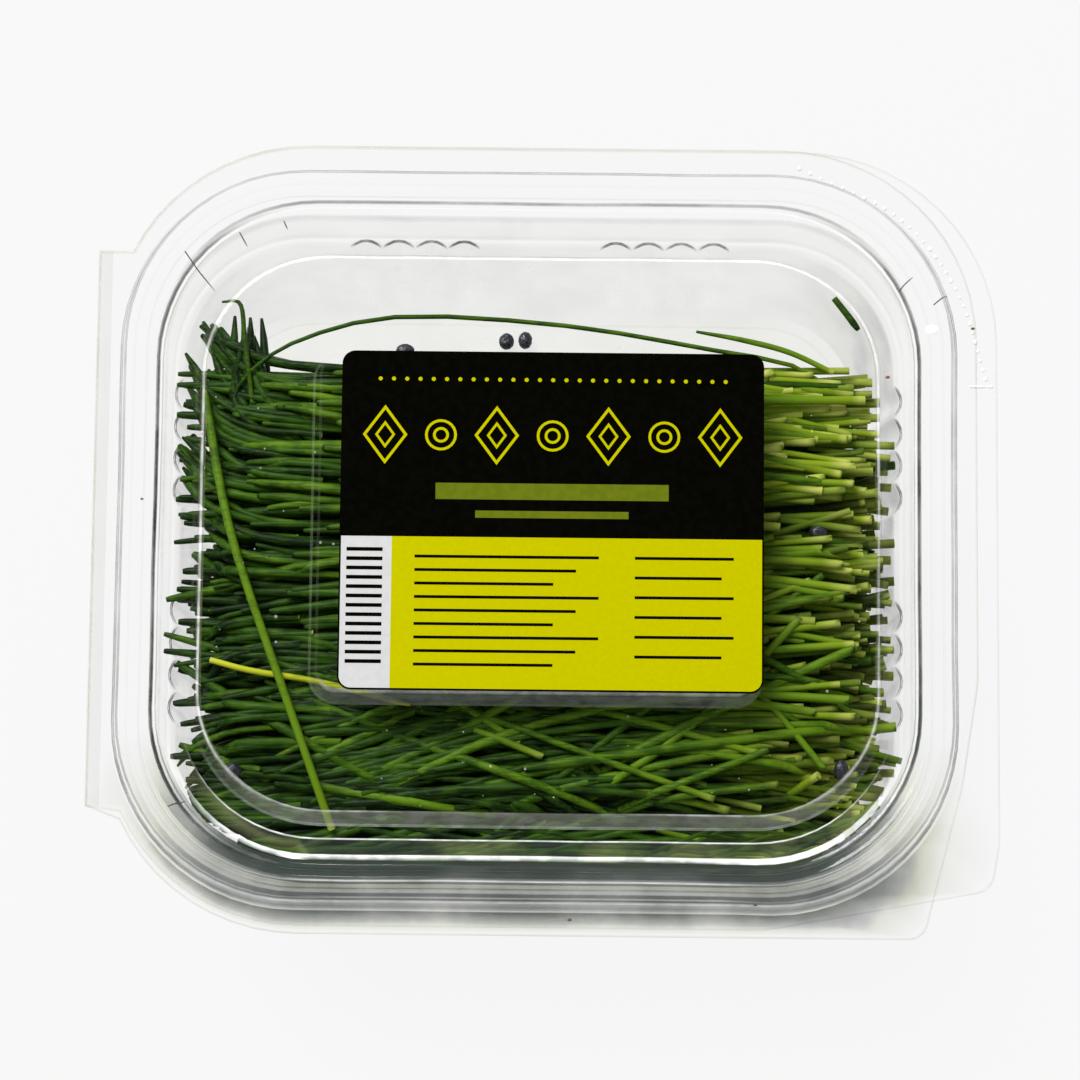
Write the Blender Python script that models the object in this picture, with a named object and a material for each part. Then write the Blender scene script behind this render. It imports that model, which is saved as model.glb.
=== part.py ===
"""Chive microgreens: cut blades in a clear hinged pack with a label on its lid.

Lengths are in metres. The pack lies on the flat bottom of its tray, +Z is up, +X points away
from the hinge, and the origin is at the middle of the footprint on the surface below.
"""

import math
import random

import bmesh
import bpy
from mathutils import Vector
from mathutils.bvhtree import BVHTree

MM = 0.001

# The formed sheet
SHEET = 0.6 * MM
GAP = 0.3 * MM
FOLD_Z = 38 * MM
TRAY_FLANGE_Z = FOLD_Z - GAP / 2 - SHEET / 2
LID_FLANGE_Z = FOLD_Z + GAP / 2 + SHEET / 2

# Outer edges of the two flanges
HINGE_X = -69 * MM
FLANGE_LEFT = -66.6 * MM
TRAY_RIGHT = 69 * MM
LID_RIGHT = 65.8 * MM
FLANGE_BACK = 61 * MM
TRAY_FRONT = -59.7 * MM
LID_FRONT = -61 * MM
FLANGE_RADIUS = 30 * MM
HINGE_FROM = -42 * MM
HINGE_TO = 44 * MM

# The bead round the mouth, which every ring inside it is inset from
POCKET_X = -1.2 * MM
BEAD_HALF_X = 63.8 * MM
BEAD_HALF_Y = 57 * MM
BEAD_RADIUS = 28 * MM
LID_RADIUS_PER_INSET = 0.7
TRAY_RADIUS_PER_INSET = 1
CORNER_STEPS = 6

# Rings of each half as inset from the bead and height over its own flange
LID_RINGS = (
    (0, 0),
    (0.6, 2.75),
    (1.3, 3.25),
    (4.4, 3.25),
    (5.2, 2.75),
    (5.7, 0.85),
    (6.4, 0.5),
    (11.2, 0.6),
    (12.1, 4.7),
    (12.8, 5.4),
)
TRAY_MOUTH_RINGS = (
    (1.7, 0),
    (2.3, 1.45),
    (3.3, 1.45),
    (3.9, 0),
    (5.9, 0),
    (6.6, -0.65),
    (7.2, -12.6),
)
TRAY_FLUTED_RINGS = ((8.5, -12.6, 1.1), (12.6, -34.25, 0.5), (13.4, -36.4, 0.3), (15, -37.25, 0.1))
TRAY_FLOOR_RINGS = ((21.8, -37.25), (23.3, -35.85), (26.3, -35.85), (27.8, -37.25))

# Flutes in the tray's walls, four in a group and two groups on a wall
FLUTE_PITCH = 5.1 * MM
FLUTES = 4
FLUTE_STEPS = 3
FLUTE_GROUP_X = 19.5 * MM
FLUTE_GROUP_Y = 17 * MM

# Raised panel of the lid and the label stuck to it
PANEL_HALF_X = 34 * MM
PANEL_HALF_Y = 26.9 * MM
PANEL_RADIUS = 4.2 * MM
PANEL_RINGS = ((0, 0), (1, 4), (1.6, 4.6))
LABEL_HALF_X = 31.8 * MM
LABEL_HALF_Y = 25.9 * MM
LABEL_RADIUS = 2 * MM
LABEL_THICK = 0.3 * MM
LABEL_X = 1 * MM
LABEL_Y = 0.3 * MM

# Chives
BLADE_WIDTH = 1.5 * MM
BLADE_POINTS = 4
CLEAR = 0.45 * MM
HEAP_TOP = 41.9 * MM
SEED = 15

# The packed middle of the heap: its section as (y, z, corner radius), ribbed like blades side by side
HEAP_SECTION = ((21, 2.5, 5), (25, 38.2, 6), (-45, 38.2, 6), (-40.6, 2.5, 5))
HEAP_STATIONS = (-50, -40, -16, 10, 35, 47)
HEAP_RAGGED = (-2.5, 3)
RIDGES = 72
RIDGE_DEPTH = 1 * MM
RIDGE_SLANT = 2.2

# Blades on each side of the heap: how many, and their first and last row in Y or Z
TOP_ROWS = (27, 23, -41)
FLOOR_ROWS = (8, 16, -36)
FRONT_ROWS = (6, 7, 33)
BACK_ROWS = (8, 7, 36)
CROSSING_BLADES = 12
END_BLADES = 21

# Bent blades that stand out behind the heap with their roots in it, as width and points
BENT_BLADES = (
    (1.0, ((-46, 18, 35), (-42, 26, 39.6), (-34, 31, 39.8), (-19, 33.8, 39))),
    (1.0, ((44, 18, 35), (37, 25.4, 39), (22, 29.4, 39.2), (2, 32.6, 38.8), (-20, 33.8, 39))),
    (1.3, ((45, 18, 35), (42.6, 26, 38.4), (33, 30.4, 39.4), (22.8, 31.6, 40.2))),
    (1.1, ((-46, 17, 35), (-50, 24, 38), (-50.4, 30, 38.6), (-51.6, 36.6, 38))),
)

# Blades that lie loose on the heap, as width and points from cut end to tip
LOOSE_BLADES = {
    "loose_blade_long": (
        1.3,
        (
            (-49.6, 23, 39.3),
            (-48.6, 8, 40.9),
            (-46, -5, 41.6),
            (-38.6, -26, 41.6),
            (-33.5, -40, 40.9),
            (-31.6, -45, 37.9),
        ),
    ),
    "loose_blade_yellow": (
        1.4,
        ((-50.4, -19.6, 38.8), (-44, -21.4, 40), (-34, -23, 40.2), (-20, -26.4, 40.2)),
    ),
    "loose_blade_end": (1.5, ((4, 19, 40.4), (18, 20.6, 41.1), (33, 20.9, 41.1), (48.6, 21.7, 38.6))),
}

# Black seed hulls on the heap and on the floor behind it: place, and turn about Z in degrees
HULL_SIZE = (3.2 * MM, 2.4 * MM, 1.8 * MM)
HULL_PLACES = (
    (41.6, 1, 38.8, 20),
    (-6.4, 38.9, 1.85, 60),
    (-3.4, 39.1, 1.9, 115),
    (-22.6, 37.2, 1.82, 10),
    (-46.6, -36.6, 39, 40),
    (45, -35.4, 39, 80),
)
HULL_SIDES = 8

CLEAR_PLASTIC = ("clear_plastic", (0.9, 0.93, 0.9), 0.12, 0.35)
LABEL_PAPER = ("label_paper", (0.02, 0.02, 0.02), 0.45, 1)
CHIVE_GREEN = ("chive_green", (0.06, 0.2, 0.03), 0.45, 1)
CHIVE_PALE = ("chive_pale", (0.3, 0.42, 0.06), 0.45, 1)
CHIVE_YELLOW = ("chive_yellow", (0.5, 0.52, 0.04), 0.45, 1)
HULL_BLACK = ("hull_black", (0.015, 0.016, 0.02), 0.5, 1)
LOOSE_FINISH = {"loose_blade_end": CHIVE_PALE, "loose_blade_yellow": CHIVE_YELLOW}


def clear_scene():
    for obj in list(bpy.data.objects):
        bpy.data.objects.remove(obj)


def material(name, colour, roughness, alpha):
    """The named material, made once."""
    found = bpy.data.materials.get(name)
    if found:
        return found
    made = bpy.data.materials.new(name)
    made.use_nodes = True
    shader = made.node_tree.nodes["Principled BSDF"]
    shader.inputs["Base Color"].default_value = (*colour, 1)
    shader.inputs["Roughness"].default_value = roughness
    shader.inputs["Alpha"].default_value = alpha
    made.diffuse_color = (*colour, alpha)
    return made


def object_of(name, bm, finish):
    """A mesh object from a bmesh, shaded smooth but for its sharp bends."""
    mesh = bpy.data.meshes.new(name)
    bm.to_mesh(mesh)
    bm.free()
    mesh.materials.append(material(*finish))
    mesh.shade_smooth()
    mesh.set_sharp_from_angle(angle=math.radians(35))
    obj = bpy.data.objects.new(name, mesh)
    bpy.context.scene.collection.objects.link(obj)
    return obj


def arc(centre_x, centre_y, radius, start, turn, steps):
    """Points of an arc in the XY plane, from the angle start through turn, both in radians."""
    angles = [start + turn * step / steps for step in range(steps + 1)]
    return [(centre_x + radius * math.cos(a), centre_y + radius * math.sin(a)) for a in angles]


def rounded_outline(corners):
    """A closed outline through the corners, each (x, y, radius), with an arc in every corner."""
    points = []
    for index, (x, y, radius) in enumerate(corners):
        corner = Vector((x, y))
        before = (Vector(corners[index - 1][:2]) - corner).normalized()
        after = (Vector(corners[(index + 1) % len(corners)][:2]) - corner).normalized()
        half = before.angle(after) / 2
        centre = corner + (before + after).normalized() * radius / math.sin(half)
        first = corner + before * radius / math.tan(half) - centre
        turn = math.pi - 2 * half
        if before.cross(after) > 0:
            turn = -turn
        steps = max(2, round(CORNER_STEPS * abs(turn) / (math.pi / 2)))
        points += arc(centre.x, centre.y, radius, math.atan2(first.y, first.x), turn, steps)
    return points


def rounded_rectangle(middle_x, middle_y, half_x, half_y, radius, steps=CORNER_STEPS):
    """A rounded rectangle, anticlockwise from its right side."""
    points = []
    for quarter, (across, along) in enumerate(((1, 1), (-1, 1), (-1, -1), (1, -1))):
        centre_x = middle_x + across * (half_x - radius)
        centre_y = middle_y + along * (half_y - radius)
        points += arc(centre_x, centre_y, radius, quarter * math.pi / 2, math.pi / 2, steps)
    return points


def pocket_sizes(inset, radius_per_inset):
    """Half sizes and corner radius of the pocket's outline at an inset from the bead."""
    radius = BEAD_RADIUS - radius_per_inset * inset
    return BEAD_HALF_X - inset, BEAD_HALF_Y - inset, radius


def pocket_ring(inset, radius_per_inset):
    return rounded_rectangle(POCKET_X, 0, *pocket_sizes(inset, radius_per_inset))


def flute_offsets(group):
    """Places along a wall and the bulge there, from 0 to 1, for its two groups of flutes."""
    places = []
    for middle in (-group, group):
        start = middle - FLUTES * FLUTE_PITCH / 2
        for step in range(FLUTES * FLUTE_STEPS + 1):
            bulge = math.sin(math.pi * (step % FLUTE_STEPS) / FLUTE_STEPS)
            places.append((start + step * FLUTE_PITCH / FLUTE_STEPS, bulge))
    return places


def fluted_ring(inset, depth):
    """A pocket ring whose four walls bulge outwards at each flute."""
    half_x, half_y, radius = pocket_sizes(inset, TRAY_RADIUS_PER_INSET)
    corner_x = half_x - radius
    corner_y = half_y - radius
    walls = (
        (Vector((half_x, 0)), Vector((0, 1)), FLUTE_GROUP_Y),
        (Vector((0, half_y)), Vector((-1, 0)), FLUTE_GROUP_X),
        (Vector((-half_x, 0)), Vector((0, -1)), FLUTE_GROUP_Y),
        (Vector((0, -half_y)), Vector((1, 0)), FLUTE_GROUP_X),
    )
    signs = ((1, 1), (-1, 1), (-1, -1), (1, -1))
    points = []
    for quarter, (wall, (across, along)) in enumerate(zip(walls, signs)):
        middle, direction, group = wall
        outward = middle.normalized()
        for place, bulge in flute_offsets(group):
            point = middle + direction * place + outward * bulge * depth
            points.append((POCKET_X + point.x, point.y))
        centre_x = POCKET_X + across * corner_x
        start = quarter * math.pi / 2
        points += arc(centre_x, along * corner_y, radius, start, math.pi / 2, CORNER_STEPS)
    return points


def with_hinge_strip(outline):
    """The outline with its left side moved out to the fold, over the length of the hinge."""
    kept = [point for point in outline if point[0] > 0 or not HINGE_FROM < point[1] < HINGE_TO]
    last_back = max(index for index, point in enumerate(kept) if point[0] < 0 and point[1] > 0)
    strip = [(HINGE_X, HINGE_TO), (HINGE_X, HINGE_FROM)]
    return kept[: last_back + 1] + strip + kept[last_back + 1 :]


def tray_outline():
    """The tray's flange, whose front right corner runs out into a tab."""
    corners = (
        (TRAY_RIGHT, FLANGE_BACK, FLANGE_RADIUS),
        (FLANGE_LEFT, FLANGE_BACK, FLANGE_RADIUS),
        (FLANGE_LEFT, TRAY_FRONT, FLANGE_RADIUS),
        (34 * MM, TRAY_FRONT, 20 * MM),
        (67.8 * MM, -53.4 * MM, 3.5 * MM),
        (TRAY_RIGHT, -46 * MM, 10 * MM),
    )
    return with_hinge_strip(rounded_outline(corners))


def lid_outline():
    """The lid's flange, whose tab is narrower and reaches further to the front."""
    corners = (
        (LID_RIGHT, FLANGE_BACK, FLANGE_RADIUS),
        (FLANGE_LEFT, FLANGE_BACK, FLANGE_RADIUS),
        (FLANGE_LEFT, LID_FRONT, FLANGE_RADIUS),
        (57.4 * MM, LID_FRONT, 3 * MM),
        (63.4 * MM, -37.5 * MM, 25 * MM),
        (LID_RIGHT, -22 * MM, 25 * MM),
    )
    return with_hinge_strip(rounded_outline(corners))


def loop_edges(bm, outline, z):
    """A closed loop of edges through the outline's points at one height."""
    corners = [bm.verts.new((x, y, z)) for x, y in outline]
    return [bm.edges.new((corners[i - 1], corner)) for i, corner in enumerate(corners)]


def corners_of(loop):
    """The corners of a loop of edges, each where an edge meets the one before it."""
    return [(set(loop[i - 1].verts) & set(edge.verts)).pop() for i, edge in enumerate(loop)]


def extruded_loop(bm, loop, outline, z):
    """A new loop extruded from a loop of edges, its corners moved to the outline's points."""
    grown = set(bmesh.ops.extrude_edge_only(bm, edges=loop)["geom"])
    corners = []
    for corner, (x, y) in zip(corners_of(loop), outline[-1:] + outline[:-1]):
        moved = next(far for far in (e.other_vert(corner) for e in corner.link_edges) if far in grown)
        moved.co = (x, y, z)
        corners.append(moved)
    pairs = zip(corners, corners[1:] + corners[:1])
    return [next(edge for edge in a.link_edges if edge.other_vert(a) is b) for a, b in pairs]


def through_loops(loops):
    """A sheet that runs through its loops, each an outline and a height.

    Neighbouring loops with unlike numbers of points lie at one height.
    """
    bm = bmesh.new()
    first, z = loops[0]
    rings = [loop_edges(bm, first, z)]
    for (before, _), (outline, z) in zip(loops, loops[1:]):
        if len(before) == len(outline):
            rings.append(extruded_loop(bm, rings[-1], outline, z))
        else:
            rings.append(loop_edges(bm, outline, z))
            bmesh.ops.triangle_fill(bm, edges=rings[-2] + rings[-1], normal=(0, 0, 1), use_beauty=True)
    return bm, rings


def formed_sheet(name, loops):
    """One sheet through its loops, filled inside the last, and given its thickness."""
    bm, rings = through_loops(loops)
    bmesh.ops.contextual_create(bm, geom=rings[-1])
    bmesh.ops.recalc_face_normals(bm, faces=bm.faces)
    obj = object_of(name, bm, CLEAR_PLASTIC)
    wall = obj.modifiers.new("wall", "SOLIDIFY")
    wall.thickness = SHEET
    wall.offset = 0
    wall.solidify_mode = "NON_MANIFOLD"
    wall.nonmanifold_thickness_mode = "CONSTRAINTS"
    return obj


def tray():
    """Flange, bead, ledge, smooth upper wall, fluted lower wall and ribbed floor."""
    loops = [(tray_outline(), TRAY_FLANGE_Z)]
    for inset, rise in TRAY_MOUTH_RINGS:
        loops.append((pocket_ring(inset * MM, TRAY_RADIUS_PER_INSET), TRAY_FLANGE_Z + rise * MM))
    for inset, rise, depth in TRAY_FLUTED_RINGS:
        loops.append((fluted_ring(inset * MM, depth * MM), TRAY_FLANGE_Z + rise * MM))
    for inset, rise in TRAY_FLOOR_RINGS:
        loops.append((pocket_ring(inset * MM, TRAY_RADIUS_PER_INSET), TRAY_FLANGE_Z + rise * MM))
    return formed_sheet("tray", loops)


def panel_top():
    return LID_FLANGE_Z + (LID_RINGS[-1][1] + PANEL_RINGS[-1][1]) * MM


def lid():
    """Flange, bead, shoulder, raised top and the panel that carries the label."""
    loops = [(lid_outline(), LID_FLANGE_Z)]
    for inset, rise in LID_RINGS:
        loops.append((pocket_ring(inset * MM, LID_RADIUS_PER_INSET), LID_FLANGE_Z + rise * MM))
    top = LID_FLANGE_Z + LID_RINGS[-1][1] * MM
    for inset, rise in PANEL_RINGS:
        sizes = [size - inset * MM for size in (PANEL_HALF_X, PANEL_HALF_Y, PANEL_RADIUS)]
        loops.append((rounded_rectangle(POCKET_X, 0, *sizes), top + rise * MM))
    return formed_sheet("lid", loops)


def label():
    """The flat label on the lid's panel."""
    bm = bmesh.new()
    sizes = (LABEL_HALF_X, LABEL_HALF_Y, LABEL_RADIUS)
    edges = loop_edges(bm, rounded_rectangle(LABEL_X, LABEL_Y, *sizes), panel_top() + SHEET / 2 + GAP)
    face = bmesh.ops.contextual_create(bm, geom=edges)["faces"]
    grown = bmesh.ops.extrude_face_region(bm, geom=face)["geom"]
    upper = [item for item in grown if isinstance(item, bmesh.types.BMVert)]
    bmesh.ops.translate(bm, vec=(0, 0, LABEL_THICK), verts=upper)
    bmesh.ops.recalc_face_normals(bm, faces=bm.faces)
    return object_of("label", bm, LABEL_PAPER)


def spaced_along(outline, count, start):
    """Points at equal steps along a closed outline, the first at a share of a step from its start."""
    corners = [Vector(point) for point in outline]
    sides = list(zip(corners, corners[1:] + corners[:1]))
    total = sum((after - before).length for before, after in sides)
    points = []
    for index in range(count):
        left = (index + start) % count * total / count
        for before, after in sides:
            length = (after - before).length
            if left <= length:
                break
            left -= length
        points.append(before.lerp(after, min(1, left / length)))
    return points


def heap_ring(station, ragged, heights, slant):
    """One ring of the heap in the plane across X: a ridge and a groove in turn."""
    outline = rounded_outline([tuple(size * MM for size in corner) for corner in HEAP_SECTION])
    places = spaced_along(outline, 2 * RIDGES, 2 * slant)
    middle = sum(places, Vector((0, 0))) / len(places)
    ring = []
    for index, place in enumerate(places):
        ridge = index // 2
        inwards = (middle - place).normalized()
        depth = heights[ridge] + RIDGE_DEPTH * (index % 2)
        y, z = place + inwards * depth
        ring.append(Vector((station + ragged[ridge], y, z)))
    return ring


def heap():
    """The packed blades as one closed body, ridged along X, with ragged ends."""
    rng = random.Random(SEED)
    bm = bmesh.new()
    heights = [rng.uniform(0, 1.1) * MM for _ in range(RIDGES)]
    rings = []
    for index, station in enumerate(HEAP_STATIONS):
        at_end = index in (0, len(HEAP_STATIONS) - 1)
        ragged = [at_end * rng.uniform(*HEAP_RAGGED) * MM for _ in range(RIDGES)]
        slant = RIDGE_SLANT * index / (len(HEAP_STATIONS) - 1)
        ring = []
        for place in heap_ring(station * MM, ragged, heights, slant):
            inside = held_within(place, wall_inset(place.z) + BLADE_WIDTH)
            ring.append(bm.verts.new(inside))
        rings.append(ring)
    for before, after in zip(rings, rings[1:]):
        for index, corner in enumerate(before):
            bm.faces.new((before[index - 1], corner, after[index], after[index - 1]))
    for ring in (rings[0], rings[-1]):
        end = bm.faces.new(ring)
        inner = bmesh.ops.inset_region(bm, faces=[end], thickness=2.5 * MM, depth=-1.5 * MM)
        bmesh.ops.triangulate(bm, faces=[end] + inner["faces"])
    bmesh.ops.recalc_face_normals(bm, faces=bm.faces)
    return bm


def blade(name, path, width, finish, grown=0):
    """A tapering blade along the path: full at its cut end, slim at its tip."""
    curve = bpy.data.curves.new(name, "CURVE")
    curve.dimensions = "3D"
    curve.bevel_depth = 1
    curve.bevel_resolution = 0
    curve.use_fill_caps = True
    spline = curve.splines.new("POLY")
    spline.points.add(len(path) - 1)
    ends = (path[0] - path[1]).normalized() * grown, (path[-1] - path[-2]).normalized() * grown
    for index, (point, place) in enumerate(zip(spline.points, path)):
        share = index / (len(path) - 1)
        if index in (0, len(path) - 1):
            place = place + ends[index > 0]
        point.co = (*place, 1)
        point.radius = width / 2 * (0.92 + 0.3 * share - 0.75 * share**4) + grown
    tube = bpy.data.objects.new(name, curve)
    bm = bmesh.new()
    bm.from_mesh(tube.to_mesh())
    bpy.data.objects.remove(tube)
    bpy.data.curves.remove(curve)
    bmesh.ops.remove_doubles(bm, verts=bm.verts, dist=0.01 * MM)
    bmesh.ops.recalc_face_normals(bm, faces=bm.faces)
    return object_of(name, bm, finish)


def wall_inset(z):
    """How far inside the bead the tray's wall stands at a height, by its rings."""
    rings = TRAY_MOUTH_RINGS[-2:] + TRAY_FLUTED_RINGS
    walls = [(ring[0] * MM, TRAY_FLANGE_Z + ring[1] * MM) for ring in rings]
    for (upper_inset, upper), (lower_inset, lower) in zip(walls, walls[1:]):
        if upper > lower and z > lower:
            share = min(1, (z - lower) / (upper - lower))
            return lower_inset + (upper_inset - lower_inset) * share
    return walls[-1][0]


def held_within(place, inset):
    """The place moved level, where need be, to inside the lid's rounder outline at an inset."""
    half_x, half_y, radius = pocket_sizes(inset, LID_RADIUS_PER_INSET)
    x = max(-half_x, min(half_x, place.x - POCKET_X))
    y = max(-half_y, min(half_y, place.y))
    corner = Vector((abs(x) - half_x + radius, abs(y) - half_y + radius))
    if corner.x > 0 and corner.y > 0 and corner.length > radius:
        corner *= radius / corner.length
        x = math.copysign(half_x - radius + corner.x, x)
        y = math.copysign(half_y - radius + corner.y, y)
    return Vector((POCKET_X + x, y, place.z))


def kept_inside(path, spare):
    """The path moved, where need be, to stay inside the tray's walls and under the lid."""
    floor = TRAY_FLANGE_Z + TRAY_FLOOR_RINGS[1][1] * MM + spare
    raised_inset = LID_RINGS[-2][0] * MM + spare
    low = any((place - held_within(place, raised_inset)).length > GAP for place in path)
    ceiling = TRAY_FLANGE_Z - spare if low else HEAP_TOP
    kept = []
    for place in path:
        z = min(ceiling, max(floor, place.z))
        kept.append(held_within(Vector((place.x, place.y, z)), wall_inset(z) + spare))
    return kept


def rows(count, first, last, rng):
    """Evenly spaced places from first to last in metres, each a little off."""
    step = (last - first) / (count - 1)
    return [(first + step * (index + rng.uniform(-0.3, 0.3))) * MM for index in range(count)]


def ends_of(rng):
    """Where a blade's cut end and its tip lie along X."""
    return rng.uniform(36, 48) * MM, rng.uniform(-50, -34) * MM


def laid(tree, starts, direction, lift):
    """The starts dropped on the heap along a direction, and kept that far over its surface."""
    path = []
    for start in starts:
        hit = tree.ray_cast(start - direction * 0.2, direction)[0]
        if hit is None:
            hit = tree.find_nearest(start)[0]
            hit = start + direction * (hit - start).dot(direction)
        path.append(hit - direction * lift)
    return path


def along(rng, cross, hook):
    """Points of one blade along X, with its other coordinate drifting and hooked at the tip."""
    right, left = ends_of(rng)
    drift = rng.uniform(-4, 4) * MM
    points = []
    for index in range(BLADE_POINTS):
        share = index / (BLADE_POINTS - 1)
        points.append((right + (left - right) * share, cross + drift * share + hook * share**4))
    return points


def heap_paths(tree, rng):
    """Paths of the blades that lie on the heap, in rows on its four long sides."""
    paths = []
    down = Vector((0, 0, -1))
    for cross in rows(*TOP_ROWS, rng):
        lift = rng.uniform(0.3, 1.9) * MM
        points = [Vector((x, y, 0.05)) for x, y in along(rng, cross, rng.uniform(1, 9) * MM)]
        paths.append(laid(tree, points, down, lift))
    for cross in rows(*FLOOR_ROWS, rng):
        points = [Vector((x, y, -0.01)) for x, y in along(rng, cross, rng.uniform(-3, 3) * MM)]
        paths.append(laid(tree, points, -down, rng.uniform(0.2, 0.9) * MM))
    for direction, wall_rows in ((1, FRONT_ROWS), (-1, BACK_ROWS)):
        inwards = Vector((0, direction, 0))
        for cross in rows(*wall_rows, rng):
            points = [Vector((x, -direction * 0.06, z)) for x, z in along(rng, cross, 0)]
            paths.append(laid(tree, points, inwards, rng.uniform(0.3, 1.6) * MM))
    return paths


def crossing_paths(tree, rng):
    """Paths of blades that lie slantwise over the front half of the heap."""
    paths = []
    for index in range(CROSSING_BLADES):
        middle = Vector((-42 + 84 * (index + 0.5) / CROSSING_BLADES, rng.uniform(-36, -14), 50)) * MM
        angle = rng.choice((-1, 1)) * rng.uniform(0.4, 1.1)
        reach = Vector((math.cos(angle), math.sin(angle), 0)) * rng.uniform(11, 19) * MM
        points = [middle + reach * share for share in (-1, -0.4, 0.3, 1)]
        paths.append(laid(tree, points, Vector((0, 0, -1)), rng.uniform(1.2, 1.9) * MM))
    return paths


def end_paths(tree, rng):
    """Paths of short blades that stand out of the two ends of the heap, tips spread to the back."""
    paths = []
    for side in (-1, 1):
        for index in range(END_BLADES):
            height = rng.uniform(6, 38) * MM
            cross = (-40 + 58 * (index + 0.5) / END_BLADES) * MM
            root = Vector((side * 36 * MM, cross, height))
            rise = rng.uniform(2, 12) if side < 0 else rng.uniform(-3, 3)
            reach = side * rng.uniform(51, 57)
            tip = Vector((reach * MM, cross + rise * MM, height + rng.uniform(-3, 4) * MM))
            middle = root.lerp(tip, 0.6) - Vector((0, rise * 0.3 * MM, 0))
            paths.append([root, middle, tip])
    return paths


def hull(name, place, turn, grown=0):
    """A flattened black seed hull."""
    bm = bmesh.new()
    bmesh.ops.create_uvsphere(bm, u_segments=HULL_SIDES, v_segments=HULL_SIDES - 2, radius=1)
    bmesh.ops.scale(bm, vec=[size / 2 + grown for size in HULL_SIZE], verts=bm.verts)
    obj = object_of(name, bm, HULL_BLACK)
    obj.rotation_euler = (math.radians(turn / 5), 0, math.radians(turn))
    obj.location = place
    return obj


def loose_pieces(grown=0, suffix=""):
    """The loose blades and hulls, or shapes that stand that much clear of them all round."""
    made = []
    for name, (width, points) in LOOSE_BLADES.items():
        path = [Vector(point) * MM for point in points]
        finish = LOOSE_FINISH.get(name, CHIVE_GREEN)
        made.append(blade(name + suffix, path, width * MM, finish, grown))
    for index, (x, y, z, turn) in enumerate(HULL_PLACES):
        name = f"seed_hull_{index + 1}{suffix}"
        made.append(hull(name, Vector((x, y, z)) * MM, turn, grown))
    return made


def combined(obj, others, operation):
    """The object with one Boolean over a collection of the others, which it replaces."""
    group = bpy.data.collections.new("repeats")
    bpy.context.scene.collection.children.link(group)
    for other in others:
        bpy.context.scene.collection.objects.unlink(other)
        group.objects.link(other)
    join = obj.modifiers.new("join", "BOOLEAN")
    join.operation = operation
    join.operand_type = "COLLECTION"
    join.collection = group
    join.solver = "MANIFOLD"
    graph = bpy.context.evaluated_depsgraph_get()
    mesh = bpy.data.meshes.new_from_object(obj.evaluated_get(graph))
    obj.modifiers.clear()
    obj.data = mesh
    for other in others:
        bpy.data.objects.remove(other)
    bpy.data.collections.remove(group)


def keep_largest_body(obj):
    """Drops the scraps that a cut leaves loose."""
    bm = bmesh.new()
    bm.from_mesh(obj.data)
    unseen = set(bm.verts)
    bodies = []
    while unseen:
        body = {unseen.pop()}
        edge_of_body = list(body)
        while edge_of_body:
            vert = edge_of_body.pop()
            near = {edge.other_vert(vert) for edge in vert.link_edges} - body
            body |= near
            edge_of_body += near
        unseen -= body
        bodies.append(body)
    bodies.sort(key=len)
    for body in bodies[:-1]:
        bmesh.ops.delete(bm, geom=list(body), context="VERTS")
    bm.to_mesh(obj.data)
    bm.free()


def chive_bunch():
    """Heap and blades fused, with room left round every loose piece."""
    rng = random.Random(SEED)
    bm = heap()
    tree = BVHTree.FromBMesh(bm)
    bunch = object_of("chive_bunch", bm, CHIVE_GREEN)
    paths = heap_paths(tree, rng) + crossing_paths(tree, rng) + end_paths(tree, rng)
    blades = []
    for index, path in enumerate(paths):
        width = BLADE_WIDTH * rng.uniform(0.8, 1.1)
        inside = kept_inside(path, 0.6 * width + GAP + SHEET / 2)
        blades.append(blade(f"blade_{index}", inside, width, CHIVE_GREEN))
    for index, (width, points) in enumerate(BENT_BLADES):
        path = [Vector(point) * MM for point in points]
        blades.append(blade(f"bent_{index}", path, width * MM, CHIVE_GREEN))
    combined(bunch, blades, "UNION")
    combined(bunch, loose_pieces(CLEAR, "_room"), "DIFFERENCE")
    keep_largest_body(bunch)
    bunch.data.set_sharp_from_angle(angle=math.radians(35))
    return bunch


def hinge_empty(children):
    """An empty on the fold line that carries what swings with the lid."""
    hinge = bpy.data.objects.new("lid_hinge", None)
    hinge.location = (HINGE_X, 0, FOLD_Z)
    bpy.context.scene.collection.objects.link(hinge)
    bpy.context.view_layer.update()
    for child in children:
        child.parent = hinge
        child.matrix_parent_inverse = hinge.matrix_world.inverted()


def main():
    clear_scene()
    tray()
    hinge_empty([lid(), label()])
    chive_bunch()
    loose_pieces()


main()
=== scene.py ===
"""Looks of chive microgreens in a clear hinged pack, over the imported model's solids.

Lengths are in metres. The pack lies on the floor of its tray, with +Z up and its hinge at -X.
"""

from __future__ import annotations

import logging
import math
import random
from dataclasses import dataclass, field
from enum import Enum
from typing import Callable, Iterable, Sequence

import bmesh
import bpy
from mathutils import Matrix, Vector, noise
from mathutils.bvhtree import BVHTree

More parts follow.
